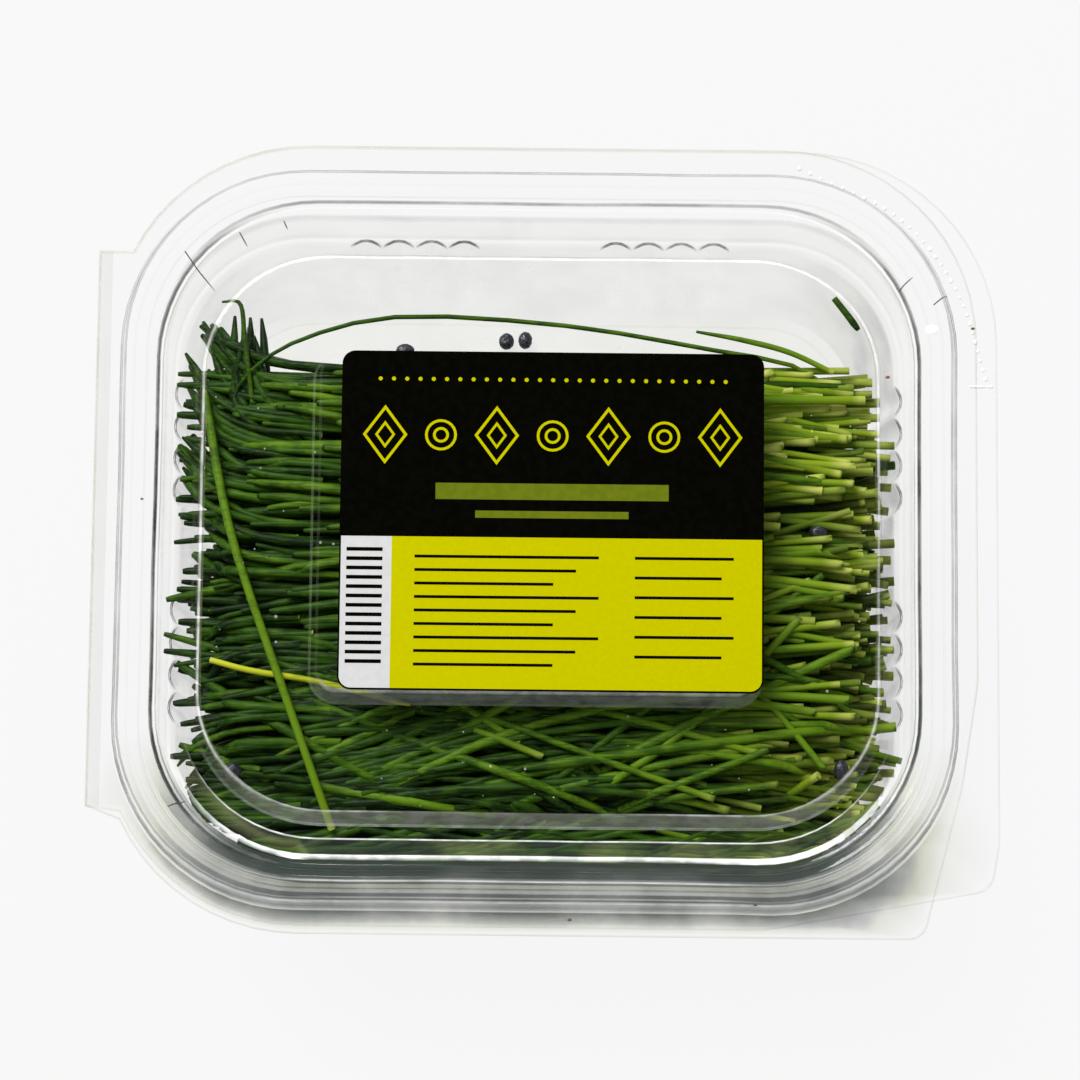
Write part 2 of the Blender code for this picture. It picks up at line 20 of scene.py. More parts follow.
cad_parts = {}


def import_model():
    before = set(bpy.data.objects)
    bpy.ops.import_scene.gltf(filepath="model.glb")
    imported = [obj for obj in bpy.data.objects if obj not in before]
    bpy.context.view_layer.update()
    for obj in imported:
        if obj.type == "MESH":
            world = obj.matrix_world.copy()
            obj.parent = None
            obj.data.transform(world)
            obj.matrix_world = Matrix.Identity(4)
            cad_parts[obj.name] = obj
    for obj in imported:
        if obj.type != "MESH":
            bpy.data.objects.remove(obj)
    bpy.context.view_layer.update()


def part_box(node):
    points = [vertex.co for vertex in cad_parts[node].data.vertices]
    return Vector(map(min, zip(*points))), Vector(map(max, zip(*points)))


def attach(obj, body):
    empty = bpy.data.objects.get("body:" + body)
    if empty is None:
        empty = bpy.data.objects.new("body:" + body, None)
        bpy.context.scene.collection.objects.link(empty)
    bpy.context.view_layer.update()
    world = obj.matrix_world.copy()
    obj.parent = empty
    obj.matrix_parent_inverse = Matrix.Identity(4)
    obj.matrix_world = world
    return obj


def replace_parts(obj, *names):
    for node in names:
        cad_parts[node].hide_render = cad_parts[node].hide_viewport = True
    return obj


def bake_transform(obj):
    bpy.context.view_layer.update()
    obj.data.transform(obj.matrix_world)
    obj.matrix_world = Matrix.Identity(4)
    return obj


LOG = logging.getLogger("chive_pack")
MM = 0.001

# Two shares that, taken again and again, spread counted things evenly.
EVEN_STEP = 0.618034
SECOND_EVEN_STEP = 0.7548777

Point = tuple[float, float]
Triple = tuple[float, float, float]
Outline = list[Point]
Colour = Triple
Mesh = bmesh.types.BMesh
Edges = list[bmesh.types.BMEdge]
Piece = bpy.types.Object
Socket = bpy.types.NodeSocket


class Body(Enum):
    """The two moving bodies of the pack."""

    TRAY = "tray_body"
    LID = "lid_body"


class Slot(Enum):
    """The record's material slots."""

    CLEAR = "clear_plastic"
    LABEL = "label_paper"
    GREEN = "chive_green"
    PALE = "chive_pale"
    YELLOW = "chive_yellow"
    HULL = "hull_black"


class Nodes:
    """A short way to add and join the nodes of one tree."""

    def __init__(self, tree: bpy.types.NodeTree) -> None:
        """Keeps the tree that the nodes go into."""
        self.tree = tree

    def add(self, kind: str, **values: object) -> bpy.types.Node:
        """Adds a node.

        Args:
            kind: Blender's name of the node, without its Shader prefix.
            **values: properties of the node to set.

        Returns:
            The new node.
        """
        node = self.tree.nodes.new(f"ShaderNode{kind}")
        for name, value in values.items():
            setattr(node, name, value)
        return node

    def put(self, value: object, socket: Socket) -> None:
        """Links an output to the socket, or sets the socket's own value.

        Args:
            value: an output, a number, or a colour.
            socket: the input it goes to.
        """
        if isinstance(value, Socket):
            self.tree.links.new(value, socket)
        elif isinstance(value, tuple) and len(value) == 3 and socket.type == "RGBA":
            socket.default_value = (*value, 1)
        else:
            socket.default_value = value

    def maths(self, operation: str, *inputs: object, clamp: bool = False) -> Socket:
        """The result of a Math node.

        Args:
            operation: the node's operation.
            *inputs: sockets or numbers, in order.
            clamp: whether the result is kept within 0 and 1.

        Returns:
            The output socket.
        """
        node = self.add("Math", operation=operation, use_clamp=clamp)
        for value, socket in zip(inputs, node.inputs):
            self.put(value, socket)
        return node.outputs[0]

    def mixed(self, share: object, first: object, second: object) -> Socket:
        """A colour between two others, by a share.

        Args:
            share: how much of the second colour it has.
            first: a colour or an output.
            second: another.

        Returns:
            The output socket.
        """
        node = self.add("Mix", data_type="RGBA")
        self.put(share, node.inputs[0])
        self.put(first, node.inputs[6])
        self.put(second, node.inputs[7])
        return node.outputs[2]

    def ranged(
        self, value: object, low: float, high: float, to_low: float = 0, to_high: float = 1
    ) -> Socket:
        """A value mapped smoothly from one range to another.

        Args:
            value: an output or a number.
            low: where its range starts.
            high: where its range ends.
            to_low: what it becomes at low.
            to_high: what it becomes at high.

        Returns:
            The output socket.
        """
        node = self.add("MapRange", interpolation_type="SMOOTHSTEP")
        names = ("Value", "From Min", "From Max", "To Min", "To Max")
        for item, name in zip((value, low, high, to_low, to_high), names):
            self.put(item, node.inputs[name])
        return node.outputs["Result"]

    def attribute(self, name: str) -> Socket:
        """The piece's own attribute as a number."""
        return self.add("Attribute", attribute_name=name).outputs["Fac"]

    def place(self) -> Socket:
        """The place on the object."""
        return self.add("TexCoord").outputs["Object"]

    def grain(self, scale: float, detail: float = 2, vector: object = None) -> Socket:
        """Noise over the object, from 0 to 1.

        Args:
            scale: how many features a metre has.
            detail: how many finer layers it has.
            vector: coordinates in place of the object's own.

        Returns:
            The noise's value.
        """
        node = self.add("TexNoise")
        self.put(self.place() if vector is None else vector, node.inputs["Vector"])
        self.put(scale, node.inputs["Scale"])
        self.put(detail, node.inputs["Detail"])
        return node.outputs["Fac"]

    def bump(self, height: object, distance: float, strength: float = 1) -> Socket:
        """A normal disturbed by a height.

        Args:
            height: an output from 0 to 1.
            distance: how high 1 is.
            strength: its share, from 0 to 1.

        Returns:
            The normal's socket.
        """
        node = self.add("Bump")
        self.put(height, node.inputs["Height"])
        self.put(distance, node.inputs["Distance"])
        self.put(strength, node.inputs["Strength"])
        return node.outputs["Normal"]


class Finish:
    """A material that is made once, from its own fields."""

    name: str

    def dress(self, nodes: Nodes, shader: bpy.types.Node) -> None:
        """Adds the nodes of this finish; the finishes below say how."""
        raise NotImplementedError

    def material(self) -> bpy.types.Material:
        """The finish as a material.

        Returns:
            The material, made when it is first asked for.
        """
        found = bpy.data.materials.get(self.name)
        if found:
            return found
        made = bpy.data.materials.new(self.name)
        made.use_nodes = True
        self.dress(Nodes(made.node_tree), made.node_tree.nodes["Principled BSDF"])
        return made


@dataclass(frozen=True)
class ClearSheet(Finish):
    """Thermoformed clear sheet: nearly unseen where flat, with painted dark reflections and glowing painted
    highlights where it bends.
    """

    name: str = "clear_sheet"
    flat: Colour = (0.01, 0.01, 0.008)
    # Painted shade: the colour of faint line values, laid over the tray's floor and walls.
    painted_shade: Colour = (0.32, 0.34, 0.16)
    # Colour of the painted dark reflections at the sheet's bends.
    line: Colour = (0.032, 0.044, 0.036)
    # Colour of the painted highlights, which glow by the glow strength below.
    shine: Colour = (0.98, 0.99, 0.98)
    glow: float = 0.5
    flat_alpha: float = 0.006
    line_alpha: float = 0.86
    shine_alpha: float = 0.62
    rim_alpha: float = 0.07
    roughness: float = 0.07
    index: float = 1.53
    rim_blend: float = 0.35

    def dress(self, nodes: Nodes, shader: bpy.types.Node) -> None:
        """Colour and alpha by the sheet's line attribute (painted dark reflections, and painted shade where
        faint), its shine attribute (glowing painted highlights) and the angle of view.

        Args:
            nodes: the material's nodes.
            shader: its main shader.
        """
        wander = nodes.ranged(nodes.grain(110, 3), 0.3, 0.7, 0.7, 1.1)
        # Line: painted dark reflections where the sheet bends, and painted shade where faint.
        line = nodes.maths("MULTIPLY", nodes.attribute("line"), wander, clamp=True)
        # Shine: painted highlights, broken up into painted glints.
        glints = nodes.ranged(nodes.grain(420, 2), 0.35, 0.65, 0.62, 1.15)
        shine = nodes.maths("MULTIPLY", nodes.attribute("shine"), glints, clamp=True)
        both = nodes.maths("ADD", nodes.maths("ADD", line, shine), 0.02)
        share = nodes.maths("DIVIDE", shine, both)
        # Faint line values take the painted shade colour, stronger ones the dark reflection colour.
        colour = nodes.mixed(nodes.ranged(line, 0, 0.04), self.flat, self.painted_shade)
        colour = nodes.mixed(nodes.ranged(line, 0.16, 0.3), colour, self.line)
        nodes.put(nodes.mixed(share, colour, self.shine), shader.inputs["Base Color"])
        # The painted highlights glow, though the sheet is no lamp.
        nodes.put(nodes.mixed(share, (0.0, 0.0, 0.0), self.shine), shader.inputs["Emission Color"])
        nodes.put(self.glow, shader.inputs["Emission Strength"])
        rim = nodes.add("LayerWeight")
        rim.inputs["Blend"].default_value = self.rim_blend
        alpha = nodes.maths("MULTIPLY_ADD", line, self.line_alpha, self.flat_alpha)
        alpha = nodes.maths("MULTIPLY_ADD", shine, self.shine_alpha, alpha)
        grazing = nodes.maths("POWER", rim.outputs["Facing"], 3)
        alpha = nodes.maths("MULTIPLY_ADD", grazing, self.rim_alpha, alpha, clamp=True)
        nodes.put(alpha, shader.inputs["Alpha"])
        nodes.put(self.roughness, shader.inputs["Roughness"])
        nodes.put(self.index, shader.inputs["IOR"])


@dataclass(frozen=True)
class ChiveSkin(Finish):
    """Fresh chive shoots: pale at the cut end, green along the blade, darker at the tip."""

    name: str = "chive_skin"
    # The darkest green: painted shade of the deep blades, and the colour the tips darken to.
    shade: Colour = (0.0045, 0.016, 0.0015)
    middle: Colour = (0.024, 0.070, 0.0025)
    bright: Colour = (0.105, 0.205, 0.006)
    warm: Colour = (0.24, 0.33, 0.014)
    cut_end: Colour = (0.46, 0.50, 0.10)
    roughness: float = 0.45
    gloss: float = 0.1
    stretch: Triple = (0.06, 1, 1)
    streaks: float = 2600
    mottles: float = 300
    mottle_depth: float = 0.17
    pores: float = 900
    pore_depth: float = 0.06 * MM

    def dress(self, nodes: Nodes, shader: bpy.types.Node) -> None:
        """Colour by each blade's tone, which holds painted shade by depth as well as random differences, and
        by the place along it.

        Args:
            nodes: the material's nodes.
            shader: its main shader.
        """
        tone = nodes.attribute("tone")
        along = nodes.attribute("along")
        pale = nodes.attribute("pale")
        stretched = nodes.add("VectorMath", operation="MULTIPLY")
        nodes.put(nodes.place(), stretched.inputs[0])
        stretched.inputs[1].default_value = self.stretch
        streak = nodes.grain(self.streaks, 2, stretched.outputs[0])
        mottle = nodes.maths("ADD", nodes.grain(self.mottles, 2), streak)
        mottle = nodes.ranged(mottle, 0.75, 1.25, -self.mottle_depth, self.mottle_depth)
        tone = nodes.maths("MULTIPLY", tone, nodes.ranged(along, 0.02, 0.9, 1.2, 0.76))
        tone = nodes.maths("ADD", tone, mottle, clamp=True)
        low = nodes.mixed(nodes.ranged(tone, 0, 0.45), self.shade, self.middle)
        colour = nodes.mixed(nodes.ranged(tone, 0.4, 1), low, self.bright)
        tip = nodes.ranged(along, 0.86, 1, 0, 0.25)
        colour = nodes.mixed(tip, colour, self.shade)
        root = nodes.maths("MULTIPLY", nodes.ranged(along, 0.02, 0.28, 0.9, 0), pale)
        colour = nodes.mixed(root, colour, self.warm)
        cut = nodes.maths("MULTIPLY", nodes.ranged(along, 0.012, 0.05, 1, 0), pale)
        colour = nodes.mixed(cut, colour, self.cut_end)
        nodes.put(colour, shader.inputs["Base Color"])
        nodes.put(self.roughness, shader.inputs["Roughness"])
        nodes.put(self.gloss, shader.inputs["Specular IOR Level"])
        normal = nodes.bump(nodes.grain(self.pores, 1), self.pore_depth, 0.4)
        nodes.put(normal, shader.inputs["Normal"])


@dataclass(frozen=True)
class PlainFinish(Finish):
    """One colour with a fine mottle, gloss and grain of its own."""

    name: str
    colour: Colour
    second: Colour
    roughness: float = 0.5
    grain_scale: float = 600
    grain_depth: float = 0.03 * MM
    shine: float = 0.5

    def dress(self, nodes: Nodes, shader: bpy.types.Node) -> None:
        """Two near colours mixed by noise, which is also the grain.

        Args:
            nodes: the material's nodes.
            shader: its main shader.
        """
        spread = nodes.grain(self.grain_scale, 3)
        share = nodes.ranged(spread, 0.35, 0.65)
        nodes.put(nodes.mixed(share, self.colour, self.second), shader.inputs["Base Color"])
        gloss = nodes.ranged(spread, 0.2, 0.8, self.roughness * 0.85, min(1, self.roughness * 1.15))
        nodes.put(gloss, shader.inputs["Roughness"])
        nodes.put(self.shine, shader.inputs["Specular IOR Level"])
        nodes.put(nodes.bump(spread, self.grain_depth), shader.inputs["Normal"])


@dataclass(frozen=True)
class WaterDrop(Finish):
    """Clear drops of water that show by their glints."""

    name: str = "water_drop"
    colour: Colour = (0.85, 0.9, 0.86)
    roughness: float = 0.03
    alpha: float = 0.16
    rim_alpha: float = 0.5
    rim_blend: float = 0.4

    def dress(self, nodes: Nodes, shader: bpy.types.Node) -> None:
        """A clear glossy bead, a little denser where it turns away.

        Args:
            nodes: the material's nodes.
            shader: its main shader.
        """
        nodes.put(self.colour, shader.inputs["Base Color"])
        nodes.put(self.roughness, shader.inputs["Roughness"])
        rim = nodes.add("LayerWeight")
        rim.inputs["Blend"].default_value = self.rim_blend
        alpha = nodes.maths("MULTIPLY_ADD", rim.outputs["Facing"], self.rim_alpha, self.alpha, clamp=True)
        nodes.put(alpha, shader.inputs["Alpha"])


@dataclass(frozen=True)
class StudioFloor(Finish):
    """A pale floor that is lit evenly."""

    name: str = "studio_floor"
    colour: Colour = (0.9, 0.9, 0.9)
    glow: float = 0.965
    level: float = 0.937

    def dress(self, nodes: Nodes, shader: bpy.types.Node) -> None:
        """A matt near-white with a little light of its own.

        Args:
            nodes: the material's nodes.
            shader: its main shader.
        """
        nodes.put((self.colour[0] * (1 - self.glow),) * 3, shader.inputs["Base Color"])
        nodes.put((1.0, 1.0, 1.0), shader.inputs["Emission Color"])
        nodes.put(self.glow * self.level, shader.inputs["Emission Strength"])
        nodes.put(1.0, shader.inputs["Roughness"])
        nodes.put(0.0, shader.inputs["Specular IOR Level"])


CLEAR_SHEET = ClearSheet()
CHIVE_SKIN = ChiveSkin()
YELLOW_SKIN = ChiveSkin(
    "yellow_skin", middle=(0.05, 0.11, 0.004), bright=(0.42, 0.46, 0.016), warm=(0.52, 0.52, 0.03)
)
WATER_DROP = WaterDrop()
# Painted shade: the very dark core stands in for the shade between the blades.
HEAP_PAINTED_SHADE = PlainFinish("heap_painted_shade", (0.003, 0.012, 0.003), (0.007, 0.028, 0.005), 0.8, 300, 0.3 * MM, 0.1)
HULL_COAT = PlainFinish("hull_coat", (0.008, 0.009, 0.012), (0.03, 0.034, 0.045), 0.36, 1500, 0.08 * MM)
BROWN_SPECK = PlainFinish("brown_speck", (0.22, 0.10, 0.04), (0.12, 0.06, 0.03), 0.7)
SCRATCH_DARK = PlainFinish("scratch_dark", (0.03, 0.06, 0.05), (0.08, 0.12, 0.10), 0.5)
PALE_PLASTIC = PlainFinish("pale_plastic", (0.93, 0.94, 0.93), (0.98, 0.98, 0.98), 0.25)
INK_GRAIN = (0.5, 900, 0.01 * MM)
LABEL_BLACK = PlainFinish("label_black", (0.0016, 0.0015, 0.0008), (0.0024, 0.0023, 0.0014), *INK_GRAIN, 0.0)
LABEL_YELLOW = PlainFinish("label_yellow", (0.48, 0.46, 0.0), (0.50, 0.48, 0.0), 0.5, 1400, 0.01 * MM, 0.0)
LABEL_OLIVE = PlainFinish("label_olive", (0.115, 0.145, 0.004), (0.13, 0.165, 0.005), *INK_GRAIN, 0.03)
LABEL_WHITE = PlainFinish("label_white", (0.57, 0.57, 0.565), (0.60, 0.60, 0.595), *INK_GRAIN, 0.1)


def made_piece(
    name: str,
    bm: Mesh,
    finishes: Sequence[Finish],
    body: Body,
    slot: Slot,
    crease: float = 40,
) -> Piece:
    """An object from a bmesh, at the origin, riding on its body.

    Args:
        name: the piece's name.
        bm: its mesh, which is freed.
        finishes: one finish for each material index.
        body: what it moves with.
        slot: the record's material slot; not used.
        crease: the bend in degrees from which an edge is sharp.

    Returns:
        The object, shaded smooth but for sharp bends.
    """
    mesh = bpy.data.meshes.new(name)
    bm.to_mesh(mesh)
    bm.free()
    for finish in finishes:
        mesh.materials.append(finish.material())
    mesh.shade_smooth()
    mesh.set_sharp_from_angle(angle=math.radians(crease))
    obj = bpy.data.objects.new(name, mesh)
    bpy.context.scene.collection.objects.link(obj)
    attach(obj, body.value)
    LOG.info("%s: %d faces", name, len(mesh.polygons))
    return obj


def arc(centre: Point, radius: float, start: float, turn: float, steps: int) -> Outline:
    """Points of an arc from the angle start through turn, both in radians."""
    angles = [start + turn * step / steps for step in range(steps + 1)]
    return [(centre[0] + radius * math.cos(a), centre[1] + radius * math.sin(a)) for a in angles]


def rounded_outline(corners: Sequence[Triple], steps: int) -> Outline:
    """A closed outline with an arc in every corner.

    Args:
        corners: each corner's x, y and radius, anticlockwise.
        steps: segments of a quarter turn.

    Returns:
        The outline's points.
    """
    points: Outline = []
    for index, (x, y, radius) in enumerate(corners):
        corner = Vector((x, y))
        before = (Vector(corners[index - 1][:2]) - corner).normalized()
        after = (Vector(corners[(index + 1) % len(corners)][:2]) - corner).normalized()
        half = before.angle(after) / 2
        centre = corner + (before + after).normalized() * radius / math.sin(half)
        first = corner + before * radius / math.tan(half) - centre
        turn = math.pi - 2 * half
        if before.cross(after) > 0:
            turn = -turn
        count = max(3, round(steps * abs(turn) / (math.pi / 2)))
        points += arc((centre.x, centre.y), radius, math.atan2(first.y, first.x), turn, count)
    return points


def rounded_rectangle(
    middle: Point, half_x: float, half_y: float, radius: float, steps: int, along: int = 1
) -> Outline:
    """A rounded rectangle, anticlockwise from its right side.

    Args:
        middle: its middle.
        half_x: half its width.
        half_y: half its height.
        radius: of its corners.
        steps: segments in each corner.
        along: segments on each straight side.

    Returns:
        The outline's points.
    """
    points: Outline = []
    for quarter, (across, up) in enumerate(((1, 1), (-1, 1), (-1, -1), (1, -1))):
        centre = (middle[0] + across * (half_x - radius), middle[1] + up * (half_y - radius))
        corner = arc(centre, radius, quarter * math.pi / 2, math.pi / 2, steps)
        if points:
            points += between(points[-1], corner[0], along)
        points += corner
    return points + between(points[-1], points[0], along)


def between(first: Point, last: Point, count: int) -> Outline:
    """The points that divide a straight line into a count of segments, without its ends."""
    a, b = Vector(first), Vector(last)
    return [tuple(a.lerp(b, step / count)) for step in range(1, count)]


def inset_outline(outline: Outline, distance: float, blunt: float = 0.4) -> Outline:
    """The outline moved inwards, its corners mitred.

    Args:
        outline: anticlockwise points.
        distance: how far inwards.
        blunt: how pointed a mitre may get, less being sharper.

    Returns:
        As many points.
    """
    moved: Outline = []
    for index, point in enumerate(outline):
        here = Vector(point)
        before = (here - Vector(outline[index - 1])).normalized()
        after = (Vector(outline[(index + 1) % len(outline)]) - here).normalized()
        first, second = Vector((-before.y, before.x)), Vector((-after.y, after.x))
        mitre = (first + second).normalized()
        moved.append(tuple(here + mitre * distance / max(blunt, mitre.dot(first))))
    return moved


class Side(Enum):
    """The sides of the pack that a trace shows on."""

    ALL = "all round"
    FRONT = "front"
    REST = "all but the front"
    BACK = "back"
    LEFT = "hinge side"
    RIGHT = "side away from the hinge"
    ENDS = "hinge side and the side away from it"
    FLUTE = "crests of the flutes"
    SCALLOP = "rims of the flutes"

    def weight(self, outward: Vector, flute: float) -> float:
        """How strongly the side holds where the rim faces outward and a flute bulges so far.

        Args:
            outward: the direction that the rim faces.
            flute: how far a flute bulges there, from 0 to 1.

        Returns:
            Its share, from 0 to 1.
        """
        front = max(0.0, -outward.y) ** 2
        weights = {
            Side.ALL: 1.0,
            Side.FRONT: front,
            Side.REST: 1 - front,
            Side.BACK: max(0.0, outward.y) ** 2,
            Side.LEFT: max(0.0, -outward.x) ** 2,
            Side.RIGHT: max(0.0, outward.x) ** 2,
            Side.ENDS: outward.x**2,
            Side.FLUTE: flute**3,
            Side.SCALLOP: min(1.0, flute * 3),
        }
        return weights[self]


@dataclass(frozen=True)
class Trace:
    """A stretch of a sheet with a painted dark reflection or a painted highlight, by its insets in
    millimetres.
    """

    start: float
    end: float
    line: float = 0
    shine: float = 0
    side: Side = Side.ALL
    fade: float = 0.07

    def stops(self) -> tuple[float, float, float, float]:
        """The insets where it starts and stops changing."""
        return (self.start - self.fade, self.start, self.end, self.end + self.fade)

    def strength(self, inset: float) -> float:
        """Its share at an inset.

        Args:
            inset: in millimetres.

        Returns:
            From 0 outside it to 1 inside it.
        """
        rising = (inset - self.start + self.fade) / self.fade
        falling = (self.end + self.fade - inset) / self.fade
        return max(0.0, min(1.0, rising, falling))


def traced(side: Side, *rows: tuple[float, ...]) -> tuple[Trace, ...]:
    """The traces of one side, from rows of start, end, line, shine and, where it is wider, fade."""
    return tuple(Trace(*row[:4], side, *row[4:]) for row in rows)


@dataclass(frozen=True)
class Bend:
    """One bend of a sheet's profile, in millimetres."""

    inset: float
    rise: float
    flute: float = 0

    def towards(self, other: Bend, share: float) -> Bend:
        """The place a share of the way to another.

        Args:
            other: where the way leads.
            share: from 0 to 1.

        Returns:
            The place as a bend.
        """
        return Bend(
            self.inset + (other.inset - self.inset) * share,
            self.rise + (other.rise - self.rise) * share,
            self.flute + (other.flute - self.flute) * share,
        )

    def distance(self, other: Bend) -> float:
        """How far apart two bends are across the sheet."""
        return math.hypot(self.inset - other.inset, self.rise - other.rise)


def softened(
    bends: Sequence[Bend], reach: float = 0.45, most: float = 0.45, steps: int = 3
) -> list[Bend]:
    """The profile with every bend between the first and last rounded.

    Args:
        bends: the sheet's profile.
        reach: how far from a corner the rounding starts, in millimetres.
        most: the largest share of a stretch that it may take.
        steps: rings that a rounding takes.

    Returns:
        The finer profile.
    """
    soft = [bends[0]]
    for before, corner, after in zip(bends, bends[1:], bends[2:]):
        back = corner.towards(before, min(most, reach / corner.distance(before)))
        on = corner.towards(after, min(most, reach / corner.distance(after)))
        for step in range(steps + 1):
            share = step / steps
            soft.append(back.towards(corner, share).towards(corner.towards(on, share), share))
    return soft + [bends[-1]]


@dataclass(frozen=True)
class RoundedForm:
    """A rounded rectangle whose rings, at growing insets, carry a sheet's profile."""

    middle: Point
    half_x: float
    half_y: float
    radius: float
    tighten: float = 1
    steps: int = 14
    along: int = 10
    wobble: float = 0
    shift: Point = (0, 0)
    narrowing: float = 0
    shift_from: float = 7 * MM
    shift_by: float = 11.2 * MM

    def sizes(self, inset: float) -> Triple:
        """Half sizes and corner radius at an inset, all in metres."""
        return self.half_x - inset, self.half_y - inset, self.radius - self.tighten * inset

    def ring(self, inset: float, bulge: float = 0) -> Outline:
        """The outline at an inset.

        Args:
            inset: in metres.
            bulge: how far flutes bulge, on forms that have them.

        Returns:
            The outline's points.
        """
        points = rounded_rectangle(self.middle, *self.sizes(inset), self.steps, self.along)
        share = min(1, max(0, (inset - self.shift_from) / (self.shift_by - self.shift_from)))
        squeeze = 1 - self.narrowing * share
        points = [(x + self.shift[0] * share, y * squeeze + self.shift[1] * share) for x, y in points]
        moved: Outline = []
        for x, y in points:
            sway = noise.noise(Vector((x * 70, y * 70, inset * 120))) * self.wobble
            out = self.outward(x, y)
            moved.append((x + out.x * sway, y + out.y * sway))
        return moved

    def outward(self, x: float, y: float) -> Vector:
        """The direction that the rim faces at a place near it.

        Args:
            x: the place's x.
            y: the place's y.

        Returns:
            The direction in plan, one long.
        """
        half_x, half_y, radius = self.sizes(0)
        across, up = x - self.middle[0], y - self.middle[1]
        corner = Vector((abs(across) - half_x + radius, abs(up) - half_y + radius))
        if corner.x > 0 and corner.y > 0:
            corner.normalize()
        else:
            corner = Vector((1, 0)) if corner.x > corner.y else Vector((0, 1))
        return Vector((math.copysign(corner.x, across), math.copysign(corner.y, up)))

    def flute(self, x: float, y: float) -> float:
        """How far a flute bulges at a place, from 0 to 1."""
        return 0.0


@dataclass(frozen=True)
class FlutedForm(RoundedForm):
    """A rounded form whose four walls have two groups of flutes each."""

    pitch: float = 5.1 * MM
    flutes: int = 4
    flute_steps: int = 6
    group_x: float = 19.5 * MM
    group_y: float = 17 * MM

    def places(self, group: float) -> list[Point]:
        """Places along a wall and the bulge there, from 0 to 1, for its two groups of flutes.

        Args:
            group: how far each group's middle is from the wall's.

        Returns:
            Each place and its bulge.
        """
        found = []
        for middle in (-group, group):
            start = middle - self.flutes * self.pitch / 2
            for step in range(self.flutes * self.flute_steps + 1):
                bulge = math.sin(math.pi * (step % self.flute_steps) / self.flute_steps)
                found.append((start + step * self.pitch / self.flute_steps, bulge))
        return found

    def ring(self, inset: float, bulge: float = 0) -> Outline:
        """The outline at an inset, with its flutes.

        Args:
            inset: in metres.
            bulge: how far each flute bulges outwards.

        Returns:
            The outline's points.
        """
        half_x, half_y, radius = self.sizes(inset)
        walls = (
            (Vector((half_x, 0)), Vector((0, 1)), self.group_y),
            (Vector((0, half_y)), Vector((-1, 0)), self.group_x),
            (Vector((-half_x, 0)), Vector((0, -1)), self.group_y),
            (Vector((0, -half_y)), Vector((1, 0)), self.group_x),
        )
        signs = ((1, 1), (-1, 1), (-1, -1), (1, -1))
        points: Outline = []
        for quarter, ((middle, direction, group), (across, up)) in enumerate(zip(walls, signs)):
            outward = middle.normalized()
            for place, share in self.places(group):
                point = middle + direction * place + outward * share * bulge
                points.append((self.middle[0] + point.x, self.middle[1] + point.y))
            centre = (self.middle[0] + across * (half_x - radius), self.middle[1] + up * (half_y - radius))
            points += arc(centre, radius, quarter * math.pi / 2, math.pi / 2, self.steps)
        return points

    def flute(self, x: float, y: float) -> float:
        """How far a flute bulges at a place, from 0 to 1.

        Args:
            x: the place's x.
            y: the place's y.

        Returns:
            From 0 beside the flutes to 1 on a crest.
        """
        out = self.outward(x, y)
        if abs(out.x) > 0.99:
            place, group = abs(y - self.middle[1]), self.group_y
        elif abs(out.y) > 0.99:
            place, group = abs(x - self.middle[0]), self.group_x
        else:
            return 0.0
        turn = (place - group + self.flutes * self.pitch / 2) / self.pitch
        return math.sin(math.pi * (turn % 1)) if 0 < turn < self.flutes else 0.0


@dataclass(frozen=True)
class Ring:
    """One ring of a sheet: its outline, height and, at each corner, its line and shine."""

    outline: Outline
    z: float
    marks: list[Point]


